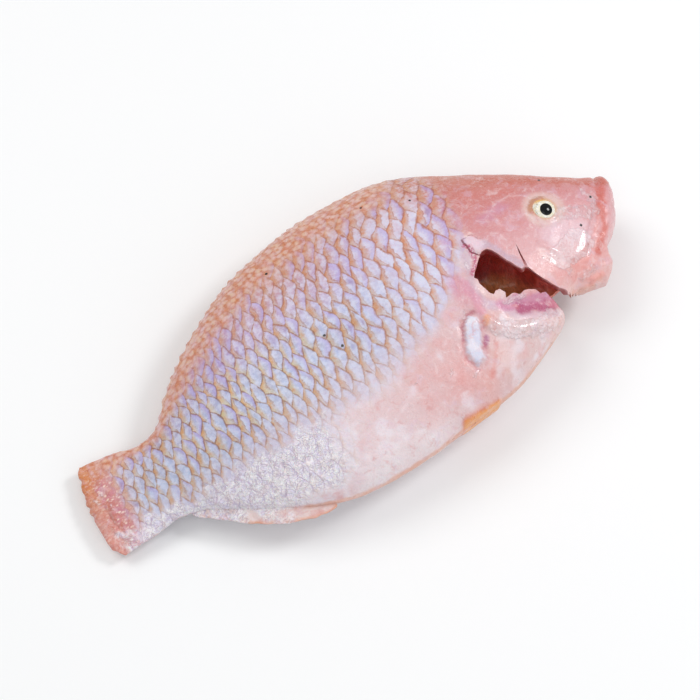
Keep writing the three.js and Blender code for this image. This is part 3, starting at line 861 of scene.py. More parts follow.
def scaled_colour(g, mm, cool, warm):
    """Colour of the scaled skin and the strength of its lines."""
    column, row, field = g.parts("pattern")
    yellow, purple, _ = g.parts("marks")
    _, wet, _ = g.parts("wet")
    wander, cloud = g.noise(mm, 2.4, 4.0, 0.62), g.noise(mm, 4.0, 3.0, 0.6)
    fleck = g.noise(mm, 1.4, 3.0, 0.65)
    scale = scale_pattern(g, column, row)
    one, two, three = scale["chance"]
    front = scale["front"] + (wander - 0.5) * 1.3
    rear = scale["rear"] + (wander - 0.5) * 0.7
    lens = scale["lens"] + (wander - 0.5) * 2.6 + (one - 0.5) * 1.1
    thick = g.ramp(cloud, 0.3, 0.7, 0.15, 1.1)
    line = g.most(g.ramp(front, thick * 0.7 + 0.25, -0.1), g.ramp(rear, thick * 0.4 + 0.1, -0.1))
    lens_line = g.ramp(abs(lens + 0.1), thick * 0.45, 0.05)
    line = g.most(line, lens_line * g.ramp(cloud + two * 0.3, 0.5, 0.8) * 0.6)
    line = line * g.ramp(field, 0.2, 1.0)
    wedge = g.ramp(lens, 1.0, -1.4) * field
    smear = g.ramp(lens, 0.7, -1.5) * g.ramp(scale["lift"] + three * 0.3, -0.35, 0.15)
    smear = smear * g.ramp(fleck + two * 0.15, 0.38, 0.68) * field * (1.0 - wet)
    fore = g.ramp(front, 3.0, 0.5) * g.ramp(three, 0.2, 0.9) * field * purple
    core = abs(front - 1.6) + scale["off"] * 4.0
    spot = g.ramp(core, 1.8, 0.3) * (two > 0.93) * field * purple
    pale = g.mix(yellow, g.mix(0.45, cool, warm), (200, 184, 134))
    deep_line = g.mix(g.ramp(yellow, 0.35, 1.0, 0.45, 0.8), warm, (122, 64, 26))
    colour = g.over(
        cool,
        (g.ramp(g.noise(mm, 7.0, 4.0, 0.6), 0.36, 0.7), g.mix(0.2, cool, warm)),
        (g.ramp(wander, 0.35, 0.62) * field * 0.5, (222, 224, 242)),
        (fore * 0.6, (172, 152, 216)),
        (spot * 0.45, (130, 96, 160)),
        (wedge * g.ramp(fleck, 0.3, 0.65, 0.95, 0.55), pale),
        (smear * 0.8, g.mix(yellow, warm, (206, 140, 66))),
        (line * (0.85 - 0.35 * wet), g.mix(wet, deep_line, (172, 146, 168))))
    return colour, line


def back_colour(g, colour):
    """Cream spots in orange skin, along the back's edge."""
    flat, back = g.attribute("flat"), g.parts("marks")[2]
    rough, cloud = g.noise(flat, 1.3, 3.0), g.noise(flat, 5.0, 4.0, 0.65)
    spot = g.ramp(g.cells(flat, 2.9, 0.7) + (rough - 0.5) * 0.5, 0.72, 0.18)
    ground = g.mix(g.ramp(cloud, 0.35, 0.65), (208, 128, 76), (210, 142, 124))
    ground = g.mix(g.ramp(rough, 0.4, 0.6) * 0.55, ground, (188, 100, 54))
    pebble = g.mix(g.ramp(cloud, 0.35, 0.65), (230, 198, 172), (226, 190, 194))
    return g.mix(back * 0.9, colour, g.mix(spot * 0.75, ground, pebble))


def speck_mask(g, mm):
    """Small dark specks on the right side."""
    x, y, z = g.parts(mm)
    flat = g.vector(x, y, 0.0)
    rough = (g.noise(mm, 0.5, 2.0) - 0.5) * 0.7
    total = 0.0
    for spot_x, spot_y, radius in SPECKS:
        centre = (spot_x - MIDDLE[0], spot_y - MIDDLE[1], 0.0)
        away = g.of_vector("DISTANCE", "Value", flat, centre)
        total = g.ramp(away + rough, radius * 1.2, radius * 0.8) + total
    return total * (z > 25.0)


def wet_film(g, mm, colour, line, gloss, crinkle):
    """Colour of mucus and of wrinkled wet skin, the film's share, and its height. The film is painted
    paler, in part a painted highlight; the wrinkled skin is painted whitish, in part a painted sheen,
    with painted highlights along its folds' crests and painted shade in their creases, beside its own
    scale lines.
    """
    warped = g.noise(mm, 2.4, 4.0, 0.6, 1.0)
    film = g.ramp(gloss + (warped - 0.5) * 1.5, 0.45, 0.75) * g.ramp(gloss, 0.0, 0.1)
    ripple, fold = g.noise(mm, 2.6, 2.0, 0.5, 1.4), g.noise(mm, 3.2, 3.0, 0.55, 1.2)
    dome = g.ramp(abs(ripple - 0.5), 0.0, 0.09)
    tint = g.mix(g.ramp(ripple, 0.4, 0.6), (252, 248, 250), (234, 228, 248))
    # painted highlight: near-white lines along the crests of the wet folds
    fold_highlight = crinkle * g.ramp(abs(fold - 0.56), 0.05, 0.0)
    # painted shade: lilac-grey lines in the creases of the wet folds; the next line adds the wrinkled
    # skin's own scale lines to them
    dark = crinkle * g.ramp(abs(fold - 0.46), 0.03, 0.0)
    dark = g.most(dark * 0.6, crinkle * line * g.ramp(warped, 0.35, 0.55))
    colour = g.over(
        colour,
        # in part a painted highlight: the wet film is laid on paler, near white with pinker lines
        (film * 0.4, g.mix(dome, (236, 204, 210), (252, 242, 248))),
        (crinkle * g.ramp(warped, 0.38, 0.6, 0.25, 0.85), tint),
        (dark * 0.75, (170, 146, 180)),
        (fold_highlight * 0.8, (254, 252, 254)))
    return colour, film, (dome * 0.4 + ripple * 3.0) * film + (fold_highlight - dark) * 1.6


def tail_colour(g, mm, colour, warm, grain, rim):
    """Grainy skin with cream flecks where the tail fin was, orange at its rim."""
    warped, blur = g.noise(mm, 1.4, 4.0, 0.7, 0.8), g.noise(mm, 3.0, 3.0, 0.6)
    cells = g.cells(g.of_vector("MULTIPLY", "Vector", mm, (0.55, 1.0, 1.0)), 1.2)
    pink = g.mix(g.ramp(blur, 0.35, 0.65), (194, 110, 92), (198, 120, 132))
    orange = g.mix(g.ramp(warped, 0.3, 0.6) * 0.7 + 0.3, (184, 72, 26), warm)
    pink = g.mix(g.ramp(rim + (warped - 0.5) * 0.7, 0.3, 0.8), pink, orange)
    fleck = g.ramp(cells + (warped - 0.5) * 0.9, 0.46, 0.16) * g.ramp(blur, 0.2, 0.5)
    grained = g.mix(fleck * 0.85 * (1.0 - rim * 0.7), pink, (246, 224, 206))
    share = g.ramp(grain + (blur - 0.5) * 1.1, 0.2, 0.9) * g.ramp(grain, 0.0, 0.1)
    return g.mix(share * 0.9, colour, grained)


def skin_material():
    g = Graph("fish_skin_wet")
    mm, cool, warm = g.millimetres(), g.attribute("cool"), g.attribute("warm")
    gloss, crinkle, grain = g.parts("wet")
    rim, crease_shade, dots = g.parts("trim")
    bare = 1.0 - g.parts("pattern")[2]
    fine, beads = g.noise(mm, 0.7, 3.0, 0.6), g.noise(mm, 0.9, 3.0, 0.7)
    blotch, streak = g.noise(mm, 5.0, 5.0, 0.7, 0.9), g.noise(mm, 8.0, 4.0, 0.65, 1.4)
    colour, line = scaled_colour(g, mm, cool, warm)
    colour = g.over(
        tail_colour(g, mm, back_colour(g, colour), warm, grain, rim),
        (bare * g.ramp(blotch, 0.52, 0.7) * 0.4, (242, 224, 228)),
        (bare * g.ramp(blotch, 0.48, 0.3) * 0.4, (210, 130, 126)),
        (bare * g.ramp(streak, 0.52, 0.7) * 0.3, (222, 196, 218)),
        (g.ramp(fine, 0.5, 0.78) * 0.2, (252, 240, 240)),
        (dots * g.ramp(beads, 0.35, 0.6), (186, 58, 104)),
        # painted highlight: pale tops on the beads of the dotted band
        (dots * g.ramp(beads, 0.62, 0.7) * 0.7, (246, 214, 232)),
        # painted shade: dark red in the fissure behind the opening and in the crease over its membrane
        (g.ramp(crease_shade + (fine - 0.5) * 0.5, 0.4, 0.7) * 0.8, (112, 30, 48)))
    colour, film, folds = wet_film(g, mm, colour, line, gloss, crinkle)
    colour = g.mix(speck_mask(g, mm), colour, (28, 18, 16))
    wrinkles, uneven = g.noise(mm, 1.1, 4.0, 0.65, 0.6), g.noise(mm, 3.2, 4.0, 0.6, 0.6)
    height = (uneven * (0.4 + bare * 0.9) + wrinkles * 0.6 + fine * 0.25 + line * 0.25
              + folds * 0.6 + beads * dots)
    g.set(Base_Color=colour, Roughness=g.ramp(g.noise(mm, 2.2, 3.0), 0.3, 0.7, 0.26, 0.44),
          Normal=g.bump(height, 0.6, 0.5), Coat_Roughness=0.09,
          Coat_Weight=0.14 + g.most(film, crinkle * 0.6) * 0.6,
          Subsurface_Weight=0.1, Subsurface_Radius=(1.0, 0.45, 0.35), Subsurface_Scale=0.002)
    return g.material


def flesh_material():
    g = Graph("gill_flesh_wet")
    mm, tint, deep = g.millimetres(), g.attribute("cool"), g.parts("marks")[0]
    stretched = g.of_vector("MULTIPLY", "Vector", mm, (1.6, 0.5, 1.0))
    strands, fine = g.noise(stretched, 1.6, 4.0, 0.65, 0.8), g.noise(mm, 0.5, 3.0, 0.6)
    colour = g.over(tint, (g.ramp(strands, 0.35, 0.7) * deep, g.mix(0.4, tint, (60, 10, 10))),
                    (g.ramp(fine, 0.6, 0.8) * 0.25, (235, 180, 170)))
    g.set(Base_Color=colour, Roughness=0.28, Normal=g.bump(strands + fine * 0.4, 0.6, 0.7),
          Coat_Weight=0.5, Coat_Roughness=0.08)
    return g.material


# ---- colours of the skin

# Level round the section (mm below the middle of the flank) and the colour there, first inside
# the scales, then in the skin between them.
LEVELS = (-60, -46, -34, -20, -6, 8, 20, 34, 58)
INSIDE = [(208, 150, 116), (204, 156, 142), (196, 154, 168), (182, 162, 200), (170, 178, 212),
          (176, 188, 218), (196, 190, 214), (222, 209, 220), (232, 216, 218)]
BETWEEN = [(200, 118, 68), (192, 108, 60), (186, 102, 54), (180, 104, 48), (174, 110, 46),
           (178, 124, 64), (202, 154, 130), (220, 190, 192), (228, 206, 202)]
BETWEEN_FORE = (208, 120, 78)          # skin between the scales near the head
HEAD_LEVELS = (-45, -30, -16, -4, 10, 28, 50)
HEAD = [(196, 118, 96), (202, 122, 112), (208, 136, 136), (214, 152, 156), (222, 174, 178),
        (228, 176, 174), (228, 196, 192)]
BARE_AT = (-118, -80, -50, -20, 15, 40, 62)      # skin without scales, along the body
BARE = [(222, 204, 208), (226, 216, 226), (226, 214, 224), (226, 202, 206), (222, 188, 190),
        (220, 184, 186), (224, 194, 194)]
# Patches: at, level, reach along, reach round, colour, share.
PATCHES = [
    (-108, -22, 14, 9, (200, 116, 62), 0.95),
    (-93, -22, 13, 11, (196, 116, 78), 0.85),
    (-114, 2, 7, 30, (208, 146, 158), 0.7),
    (-121, -15, 10, 14, (214, 124, 16), 0.95),
    (-124, 0, 6, 12, (206, 112, 30), 0.9),
    (-118, 20, 8, 12, (222, 136, 116), 0.85),
    (-52, -20, 14, 8, (160, 130, 190), 0.4),
    (-40, -33, 16, 6, (196, 140, 160), 0.35),
    (26, 43, 7, 9, (226, 156, 152), 0.65),
    (36, 53, 6, 7, (230, 168, 160), 0.6),
    (14, 30, 8, 7, (226, 176, 176), 0.4),
    (45, 12, 4, 9, (214, 140, 160), 0.75),
    (52, -8, 3, 4, (224, 140, 136), 0.7),
    (49, 44, 7, 8, (230, 176, 164), 0.5),
    (-18, 58, 15, 9, (238, 230, 234), 0.8),
    (6, 60, 13, 8, (238, 228, 232), 0.75),
]
LIP_LINE = [(127, 1.5), (124.5, -2), (122, -6.5), (119.5, -10.5), (117, -14.5), (113, -18.5),
            (108.5, -22)]
# Strokes on the flank: x and y, half width, softness, colour, share.
STROKES = [
    ([(71, 10), (76, 11), (82, 12)], 2.2, 4.2, (204, 148, 178), 0.5),
    ([(73, 24), (82, 21), (92, 19)], 3.5, 3.0, (208, 126, 120), 0.6),
    (HEAD_LINES[0], 0.3, 1.2, (236, 196, 196), 0.5),
    (HEAD_LINES[1], 0.2, 1.2, (236, 198, 202), 0.45),
    (HEAD_LINES[2], 0.2, 1.2, (236, 198, 208), 0.45),
    ([(94, -25), (102, -23.5), (109, -22)], 2.6, 4.0, (234, 150, 142), 0.55),
    ([(85, -24), (92, -25)], 2.0, 3.4, (230, 150, 148), 0.45),
    ([(84, -14), (88, -20), (93, -25)], 1.4, 2.6, (238, 204, 200), 0.55),
    ([(124.5, 5), (124, 0), (119.5, -6), (114, -13), (106, -18.5)], 0.8, 1.8, (208, 112, 102), 0.6),
    ([(90, -31), (97, -31.6), (104, -31)], 1.0, 1.6, (222, 154, 124), 0.5),
    ([(99, -30), (106, -30)], 1.2, 2.4, (240, 160, 150), 0.55),
    (LIP_LINE, 1.9, 2.2, (208, 106, 94), 0.85),
    ([(92, -10), (99, -9), (106, -12)], 5.0, 6.0, (228, 198, 208), 0.6),
    ([(65, 0), (68, -7), (71, -13), (73.5, -15.5)], 2.2, 1.6, (196, 168, 184), 0.8),
    ([(61, 4.5), (62.6, 1)], 2.2, 1.6, (232, 206, 220), 0.85),
    ([(59, 7.4), (63.5, 7.6)], 0.5, 0.6, (244, 212, 208), 0.8),
    ([(56.5, 5.5), (55.5, -1), (52.5, -7), (50.0, -12), (49.6, -18), (52, -23)], 1.8, 2.2,
     (204, 174, 190), 0.7),
    ([(52, -23), (57, -28), (63, -33), (70, -35.6), (76, -36.4)], 2.0, 2.4, (212, 182, 196), 0.8),
    ([(46.5, -7), (47.5, -12), (48.2, -18), (47, -24)], 2.0, 2.4, (218, 142, 166), 0.65),
    ([(57, -25.5), (64, -27.2), (72, -29.2), (79, -31)], 2.6, 2.4, (206, 134, 168), 0.85),
    ([(63, -29.6), (69, -31.6), (76, -32.8)], 2.4, 2.6, (172, 66, 112), 0.9),
    ([(76, -32), (80.5, -33)], 1.6, 2.4, (206, 122, 140), 0.8),
    ([(42.5, -34.5), (43.5, -33)], 1.5, 0.9, (168, 84, 134), 0.8),
    ([(46.5, -28.5), (47.5, -27.5)], 1.2, 1.0, (224, 142, 84), 0.7),
    ([(46, -37), (42.5, -42), (38, -46)], 0.8, 2.0, (222, 140, 132), 0.6),
    # in part painted shade: a dark line in the crease along the pectoral stump's upper edge
    ([(44.5, -22.3), (40.5, -22.2), (37.3, -25), (34.5, -30)], 0.6, 0.7, (176, 84, 104), 0.7),
]
# Gloss on the wet skin, where its coat is stronger and its colour is painted paler, in part a painted
# highlight: x and y, half width, strength.
GLOSS = [
    ([(90, -19), (96, -17), (104, -14.5)], 4.6, 0.85),
    ([(84, -16), (88, -21), (92, -25)], 2.0, 0.5),
    ([(96, -28), (103, -27.5)], 2.0, 0.5),
    ([(91.5, -20.8), (96, -22), (104, -21), (108, -18)], 0.8, 0.8),
    ([(100, -2), (105, -4), (111, -6), (117, -7)], 3.4, 0.56),
    ([(118.5, 4), (119, -2), (118, -8)], 1.6, 0.6),
    ([(89, -4), (90.5, -5)], 0.6, 0.8),
    ([(53.4, -2.5), (52.6, -6)], 0.8, 0.95),
    ([(52.2, 6.6), (51.8, 5)], 0.6, 0.95),
    ([(58, -24.6), (64, -25.6), (67, -26)], 1.0, 0.7),
    ([(50, -33), (57, -37), (66, -39.5), (74, -38)], 3.4, 0.66),
    ([(74, -35.6), (79.5, -36.6)], 2.2, 0.7),
    ([(42, -20), (39, -24)], 1.2, 0.6),
    ([(34, -42), (31, -43.5)], 0.8, 0.75),
    ([(25, -37), (23, -39)], 0.7, 0.75),
    ([(22, -52), (20, -53)], 0.7, 0.75),
    ([(4, -39), (2, -41)], 0.6, 0.7),
    ([(15, -25), (13, -27)], 0.6, 0.7),
    ([(12, -33), (9, -35)], 0.7, 0.7),
    ([(-119.5, 4), (-118.5, -2)], 1.0, 0.62),
    ([(-117, 3), (-115, -4)], 0.8, 0.66),
]
# Red dots on the skin behind the opening, along x and y; the beads there get painted highlights on
# their tops.
DOTTED_BAND = [(58.1, 3.5), (58.2, -1.3), (56.8, -4.2), (55.0, -6.9), (53.2, -8.7)]
BACK_TURN = (56, 36)                    # between these angles the flank turns to the orange back
CROWN_TURN = (51, 42)                   # and the face to the red crown
CROWN = [(194, 92, 68), (180, 80, 56)]  # its colour, and its darker lines
HEAD_DIM = (0.94, 0.82, 0.80)           # share of the face's colour in its lines
YELLOW_PATCH = (-50, -2, 46, 15)        # at and level where lines are most yellow, and its reach


def patch(at, level, centre_at, centre_level, long, tall):
    return np.exp(-((at - centre_at) / long) ** 2 - ((level - centre_level) / tall) ** 2)


def banded(level, levels, colours):
    linear = np.array([srgb(*colour) for colour in colours])
    return np.stack([np.interp(level, levels, linear[:, k]) for k in range(3)], -1)


def over(colour, *layers):
    """Colours with layers laid over them, each a share and a colour, from 0 to 255 or linear."""
    for share, shade in layers:
        shade = srgb(*shade) if isinstance(shade, tuple) else shade
        colour = lerp(colour, shade, share[:, None])
    return colour


def blend(first, second, share):
    return over(srgb(*first), (share, second))


def pair(colour, dim):
    """A colour inside the scales and, dimmed, between them."""
    return srgb(*colour) * np.array([1, dim])[:, None, None]


def stroke(points, line, half, soft, seed):
    """How much of a soft-edged stroke lies on each point."""
    sway = [0.8 * noise(points, 4.0, seed + k) + 0.3 * noise(points, 1.8, seed + k) for k in (0, 1)]
    far = beside(points[:, 0] + sway[0], points[:, 1] + sway[1], line)
    far = far + 0.3 * soft * noise(points, 2.2, seed + 2)
    return ease(far, half + 0.5 * soft, half - 0.5 * soft)


def bare_colour(points, at):
    """Skin without scales: pale, with soft pink and lilac blotches."""
    rosy = ease(noise(points, 9.0, 94) + 0.5 * noise(points, 3.5, 95), 0.1, 0.8)
    milky = ease(noise(points, 6.0, 96) + 0.5 * noise(points, 2.5, 97), 0.1, 0.8)
    return over(banded(at + 5 * noise(points, 16.0, 93), BARE_AT, BARE),
                (0.45 * rosy, (226, 172, 172)), (0.6 * milky, (236, 230, 240)))


def eye_layers(points):
    """Rings of paler and browner skin round the eyes."""
    layers = []
    for centre in eye_centres():
        x, y, _ = (points - centre).T
        far = np.linalg.norm(points - centre, axis=-1) + 0.3 * noise(points, 2.0, 105)
        above = ease((y - 0.5 * x) / np.maximum(far, 1), 0.3, 0.7)
        layers += [(0.8 * ease(far, 11, 7.5), (226, 196, 190)),
                   (0.7 * ease(far, 6.2, 5.0), (214, 172, 134)),
                   (0.85 * above * ease(far, 7.4, 6.6), (190, 130, 98))]
    return layers


def fin_layers(points, at, level):
    """Colours of what is left of the fins, with a darker pink ring round the pectoral stump, in part
    painted shade in the crease there.
    """
    y = points[:, 1]
    inside = within(points, PECTORAL_STUMP) + 0.9 * noise(points, 1.5, 98)
    # in part painted shade: a darker pink ring in the crease round the pectoral stump
    ring = bell(inside, -1.0, 0.8) * (0.5 + 0.5 * noise(points, 4.0, 102))
    stump = blend((214, 214, 234), (230, 226, 238), ease(noise(points, 2.2, 103), -0.4, 0.4))
    turned = np.degrees(np.arccos(cosine_at(at, y))) + 1.5 * noise(points, 2.0, 106)
    keel = ease(turned, 171, 176) * ease(at, 96, 84)
    s = PELVIC_STUMP
    strip = bell(level, np.interp(at, (s["from"], s["to"]), s["level"]), 5.2)
    strip = strip * between(at, s["from"], s["from"] + 4, s["to"] - 3, s["to"])
    ripe = ease(strip + 0.3 * noise(points, 3.0, 99), 0.4, 0.9)
    strip = strip * (1 + 0.25 * noise(points, 2.2, 101))
    a = ANAL_STRIP
    out = along(BELLY, at) - y
    blade = ease(out, -0.3, 0.7) * between(at, -93, -88, -42, -38)
    share = np.clip((at - a["from"]) / (a["to"] - a["from"]), 0, 1)
    rim = a["depth"] * np.sqrt(np.sin(np.pi * share)) - out + 0.4 * noise(points, 1.5, 104)
    pink = blend((226, 204, 202), (218, 176, 172), ease(noise(points, 2.5, 100), -0.2, 0.5))
    return [(0.8 * ring, (200, 116, 130)), (ease(inside, -0.5, 0.8), stump),
            (0.75 * keel, (226, 158, 122)),
            (ease(strip, 0.2, 0.75), blend((214, 108, 62), (236, 160, 88), ripe)),
            (blade, over(pink, (ease(rim, 1.1, 0.2), (222, 156, 124))))]


def inside_colour(points, at, depth):
    """Colours of the cuts: a dark red rim, the gill chamber's wall, its upper part darker red, in part
    a painted shade, and a brown and orange floor.
    """
    x, y, z = points.T
    places, _, highs = np.array(CHAMBER, float).T
    # in part painted shade: the chamber's upper wall is coloured darker red than its floor
    above = ease(y - np.interp(at, places, highs), -8, -3)
    ahead = ease(x + 0.4 * y, 72, 86)
    floor = blend((244, 168, 104), (250, 136, 112), ahead)
    hollow = over(floor, (above, blend((176, 34, 46), (240, 100, 90), ahead)))
    rim = blend((228, 176, 178), (168, 62, 66), ease(depth, 0.4, 1.3))
    chin = ease(x, 86, 89) * ease(y, -26.5, -28.5) * (z > 20)
    frayed = blend((240, 192, 180), (228, 152, 128), ease(noise(points, 1.5, 107), -0.1, 0.5))
    return over(rim, (ease(depth, 5.0, 10.0), hollow), (chin, frayed))


def tint_skin(piece):
    """Keeps the pattern's coordinates and the broad colours on the skin's points."""
    mesh = piece.data
    points, known = mesh_points(mesh), take(mesh, "known")
    x, y, z = points.T
    sure = known[:, 2] > 0.5                # points of the skin's own mesh, not of a cut
    at, angle = (np.where(sure, own, near) for own, near in zip(known.T, skin_place(points)))
    level, side = flank_level(at, angle), np.sign(np.sin(angle))
    column, row = lattice(at, level, side)
    field = scale_field(points, at, level)
    wobble = level + 3.0 * noise(points, 14.0, 91)
    fore = ease(at, -15, 45) * ease(level, 30, 10) * (0.3 + 0.7 * ease(level, -44, -28))
    cool = over(banded(wobble, LEVELS, INSIDE), (0.75 * fore, (218, 212, 234)))
    warm = over(banded(wobble, LEVELS, BETWEEN), (fore, BETWEEN_FORE))
    bare, face = bare_colour(points, at), banded(wobble, HEAD_LEVELS, HEAD)
    head = ease(x + 0.2 * y + 3 * noise(points, 8.0, 92), 54, 66)
    turn = np.degrees(np.abs(angle)) + 6 * noise(points, 5.0, 90) + 3 * noise(points, 2.4, 85)
    crown = 0.8 * ease(at, 68, 84) * ease(turn - 0.45 * np.maximum(at - 90, 0), *CROWN_TURN)
    layers = [(ease(field, 0.1, 0.6), np.stack([cool, warm])),
              (head, np.stack([face, face * HEAD_DIM])),
              (crown, np.array([[srgb(*colour)] for colour in CROWN])), *eye_layers(points)]
    swayed = level + 2 * noise(points, 5.0, 89)
    for centre_at, centre_level, long, tall, colour, share in PATCHES:
        near = share * patch(at, swayed, centre_at, centre_level, long, tall)
        layers.append((near, pair(colour, 0.92)))
    right = np.maximum(z > along(MID, at), ease(x, 79, 86))
    for i, (line, half, soft, colour, share) in enumerate(STROKES):
        near = share * stroke(points, line, half, soft, 110 + 3 * i) * right
        layers.append((near, pair(colour, 0.95)))
    layers += fin_layers(points, at, level)
    cool, warm = over(np.stack([bare, bare * 0.93]), *layers)
    depth = along(MID, at) + half_at(at, y) - z
    cut_face = ~sure & (y > along(BELLY, at) + 0.5)
    cool = np.where(cut_face[:, None], inside_colour(points, at, depth), cool)
    yellow = np.where(cut_face, ease(depth, 2.0, 5.0),
                      0.35 + 0.65 * patch(at, level, *YELLOW_PATCH))
    gloss = np.max([strength * stroke(points, line, half, 1.4, 210 + 3 * i)
                    for i, (line, half, strength) in enumerate(GLOSS)], axis=0)
    crinkle = crinkle_mask(at + 5 + 9 * noise(points, 9.0, 108) + 5 * noise(points, 3.5, 109),
                           level + 4 * noise(points, 5.0, 111))
    rim = np.max([ease(at, -116, -120.5), ease(-level, 7, 13) * ease(at, -100, -110),
                  *(stroke(points, line, 0.9, 1.0, 87) for line in TAIL_GROOVES)], axis=0)
    # painted shade along the fissure behind the opening and, weaker, in the crease over its membrane
    crease_shade = np.maximum(stroke(points, CREASES[0][0], 0.5, 0.9, 88),
                        0.6 * stroke(points, CREASES[1][0], 0.6, 1.0, 88))
    for name, values in {
            "flat": (at, level, 50 * side), "pattern": (column, row, field),
            "marks": (yellow, ease(level, 24, 0), ease(turn, *BACK_TURN) * (1 - head)),
            "wet": (gloss, crinkle, ease(at + 0.1 * np.abs(level), -103, -117)),
            "trim": (rim, crease_shade * right, stroke(points, DOTTED_BAND, 1.1, 1.0, 86) * right),
            "cool": cool.T, "warm": warm.T}.items():
        put(mesh, name, np.stack(values, -1))


# ---- eyes


def eye_material():
    g = Graph("fish_eye_wet")
    mm, (reach, turn, _) = g.millimetres(), g.parts("dial")
    speckle, cloud = g.noise(mm, 0.45, 3.0, 0.75), g.noise(mm, 1.6, 2.0, 0.6)
    colour = g.over(
        g.mix(g.ramp(cloud, 0.4, 0.6), (248, 247, 240), (238, 230, 200)),
        (g.ramp(speckle, 0.53, 0.62) * g.ramp(reach, 2.8, 4.2, 0.3, 0.95), (126, 122, 112)),
        (g.ramp(reach, 4.1, 4.5) * g.ramp(turn, 0.3, 0.8) * 0.9, (232, 172, 66)),
        (g.ramp(reach, 4.3, 4.8) * g.ramp(turn, 0.1, -0.5) * 0.6, (214, 180, 130)),
        (g.ramp(reach + speckle * 0.12, 2.82, 2.66), (8, 8, 12)))
    g.set(Base_Color=colour, Roughness=0.5, Specular_IOR_Level=0.0, Coat_Weight=0.7,
          Coat_Roughness=0.03)
    return g.material


def eyeball(name, sign, material, around=96, rings=64):
    """Eyeball, with the distance from its gaze and the turn round it kept on its points."""
    at, angle = EYE["at"], sign * math.radians(EYE["angle"])
    up = skin_normal(np.array(at), np.array(angle))
    fore = unit(np.cross(up, (0, 1, 0)))
    above = np.cross(fore, up)
    centre = surface(at, angle) - up * EYE["sunk"]
    p, q = np.meshgrid(np.pi * np.arange(1, rings) / rings,
                       2 * np.pi * np.arange(around) / around, indexing="ij")
    ball = spots(np.sin(p) * np.cos(q), np.sin(p) * np.sin(q), np.cos(p)).reshape(-1, 3)
    ball = np.concatenate([[(0, 0, 1)], ball, [(0, 0, -1)]])
    offset = ball @ np.array([above, fore, up]) * EYE["ball"]
    faces = [[f + 1 for f in face] for face in ring_faces(rings - 1, around)]
    last = len(ball) - 1
    for k in range(around):
        after = (k + 1) % around
        faces += [[0, 1 + k, 1 + after], [last, last - around + after, last - around + k]]
    piece = new_object(f"eyeball_{name}", centre + offset, faces, material)
    gaze = unit(up + np.array(EYE_AXIS))
    reach = np.linalg.norm(np.cross(offset, gaze), axis=-1)
    reach = np.where(offset @ gaze > 0, reach, 9.0)
    turn = (0.95 * offset @ above - 0.3 * offset @ fore) / np.maximum(reach, 1e-6)
    put(piece.data, "dial", spots(reach, turn, 0))
    return piece


# ---- the fish


def cut(piece, tools, operation):
    """Joins or cuts a piece with each of the tools, which are then removed."""
    for tool in tools:
        step = piece.modifiers.new("cut", "BOOLEAN")
        step.object = tool
        step.operation = operation
        step.solver = "MANIFOLD"
        step.material_mode = "TRANSFER"
        graph = bpy.context.evaluated_depsgraph_get()
        mesh = bpy.data.meshes.new_from_object(piece.evaluated_get(graph))
        piece.modifiers.clear()
        piece.data = mesh
        bpy.data.objects.remove(tool)


def finished(piece, node):
    """Holds a piece inside the box of the solids, smooths it, hangs it under the root and hides the
    solid it stands for.
    """
    mesh = piece.data
    values = np.clip(place(mesh_points(mesh)), *np.array(CAD_BOX))
    mesh.vertices.foreach_set("co", values.ravel())
    mesh.shade_smooth()
    mesh.set_sharp_from_angle(angle=math.radians(40))
    mesh.update()
    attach(piece, "root")
    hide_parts(node)


def build_fish():
    skin, flesh, shine = skin_material(), flesh_material(), eye_material()
    body = skin_mesh(skin)
    cut(body, [anal_strip(skin)], "UNION")
    low = OPENING_FLOOR - 1
    prisms = [("opening", GILL_OPENING, OPENING_FLOOR, OPENING_TOP, 0.6, 0.35),
              ("slit", COVER_SLIT, SLIT_FLOOR, OPENING_TOP, 0.6, 0.06),
              ("corner", CORNER_CUT, low, CORNER_TOP, 0.9, 0.1),
              *((f"wall_{x:.0f}", [(86, -27), (x, -27), (x, -44), (86, -44)], low, top, 1.2, 0.3)
                for x, top in CORNER_STEPS),
              ("throat", THROAT_CUT, THROAT_BOTTOM, THROAT_TOP, 0.9, 0.5)]
    tools = [ragged_prism(f"cut_{name}", *sizes, flesh) for name, *sizes in prisms]
    cut(body, [*tools, gill_chamber(flesh)], "DIFFERENCE")
    tint_skin(body)
    finished(body, "fish_body")
    for name, sign in (("right", 1), ("left", -1)):
        finished(eyeball(name, sign, shine), f"eye_{name}")


# ---- stage

TARGET = np.array([0.0, 0.0, 20.0])
DISTANCE = 630
BACKWARD = np.array([-0.2264, -0.3568, 0.9063])     # from the target to the camera
RIGHTWARD = np.array([0.8443, -0.5358, 0.0])
FOCAL_SHARE = 1520 / 700                # focal length over the picture's width
SENSOR = 36
FLOOR_REACH = 3000
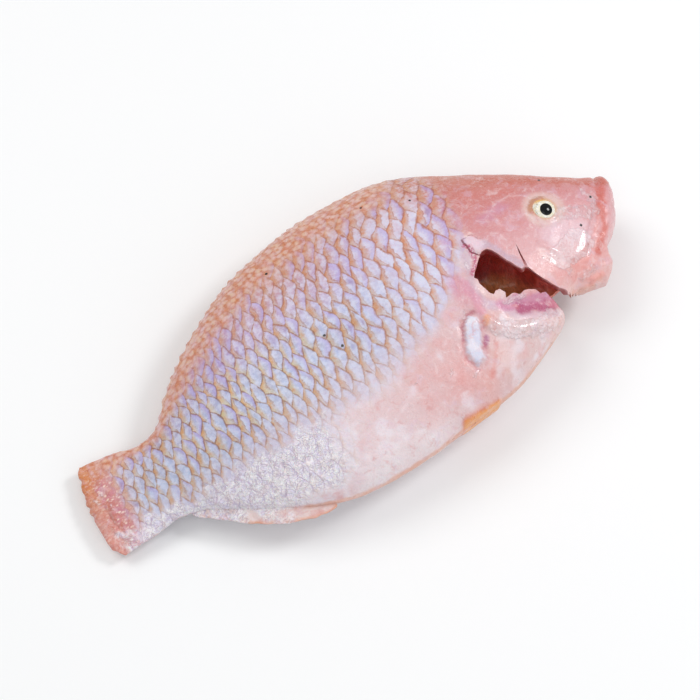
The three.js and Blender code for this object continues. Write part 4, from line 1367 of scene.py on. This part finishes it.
# Lamps: name, way from the target (right, up, back), distance, diameter in m, watts, colour.
LAMPS = [
    ("key", (-0.6, 0.75, 0.75), 1100, 0.85, 5.6, (1.0, 0.99, 0.98)),
    ("fill", (0.8, -0.35, 0.7), 1200, 1.2, 2.2, (1.0, 1.0, 1.0)),
    ("front", (0.0, 0.0, 1.0), 1300, 1.0, 2.2, (1.0, 1.0, 1.0)),
    ("window", (0.66, 0.54, 0.52), 1200, 0.35, 4.3, (1.0, 1.0, 1.0)),
]


def camera(axes):
    lens = bpy.data.cameras.new("camera")
    lens.sensor_width = SENSOR
    lens.lens = SENSOR * FOCAL_SHARE
    lens.clip_start, lens.clip_end = 0.01, 20
    made = in_scene("camera", lens)
    matrix = np.eye(4)
    matrix[:3, :3] = axes.T
    matrix[:3, 3] = place(TARGET + axes[2] * DISTANCE)
    made.matrix_world = Matrix(matrix.tolist())
    bpy.context.scene.camera = made


def stage():
    backward, rightward = unit(BACKWARD), unit(RIGHTWARD)
    axes = np.array([rightward, np.cross(backward, rightward), backward])
    camera(axes)
    for name, way, distance, size, power, colour in LAMPS:
        lamp = bpy.data.lights.new(name, "AREA")
        lamp.shape, lamp.size = "DISK", size
        lamp.energy, lamp.color = power, colour
        offset = way @ axes * distance
        made = in_scene(name, lamp)
        made.location = place(TARGET + offset)
        made.rotation_euler = (-Vector(offset.tolist())).to_track_quat("-Z", "Y").to_euler()
    world = bpy.data.worlds.new("studio")
    world.use_nodes = True
    world.node_tree.nodes["Background"].inputs["Color"].default_value = (1, 1, 1, 1)
    world.node_tree.nodes["Background"].inputs["Strength"].default_value = 0.48
    bpy.context.scene.world = world
    g = Graph("studio_floor")
    g.set(Base_Color=srgb(246, 247, 248), Roughness=0.6)
    corners = np.array([(-1, -1, 0), (1, -1, 0), (1, 1, 0), (-1, 1, 0)]) * FLOOR_REACH
    new_object("floor", corners + MIDDLE, [(0, 1, 2, 3)], g.material)
    bpy.context.scene.view_settings.view_transform = "Standard"


stage()
build_fish()
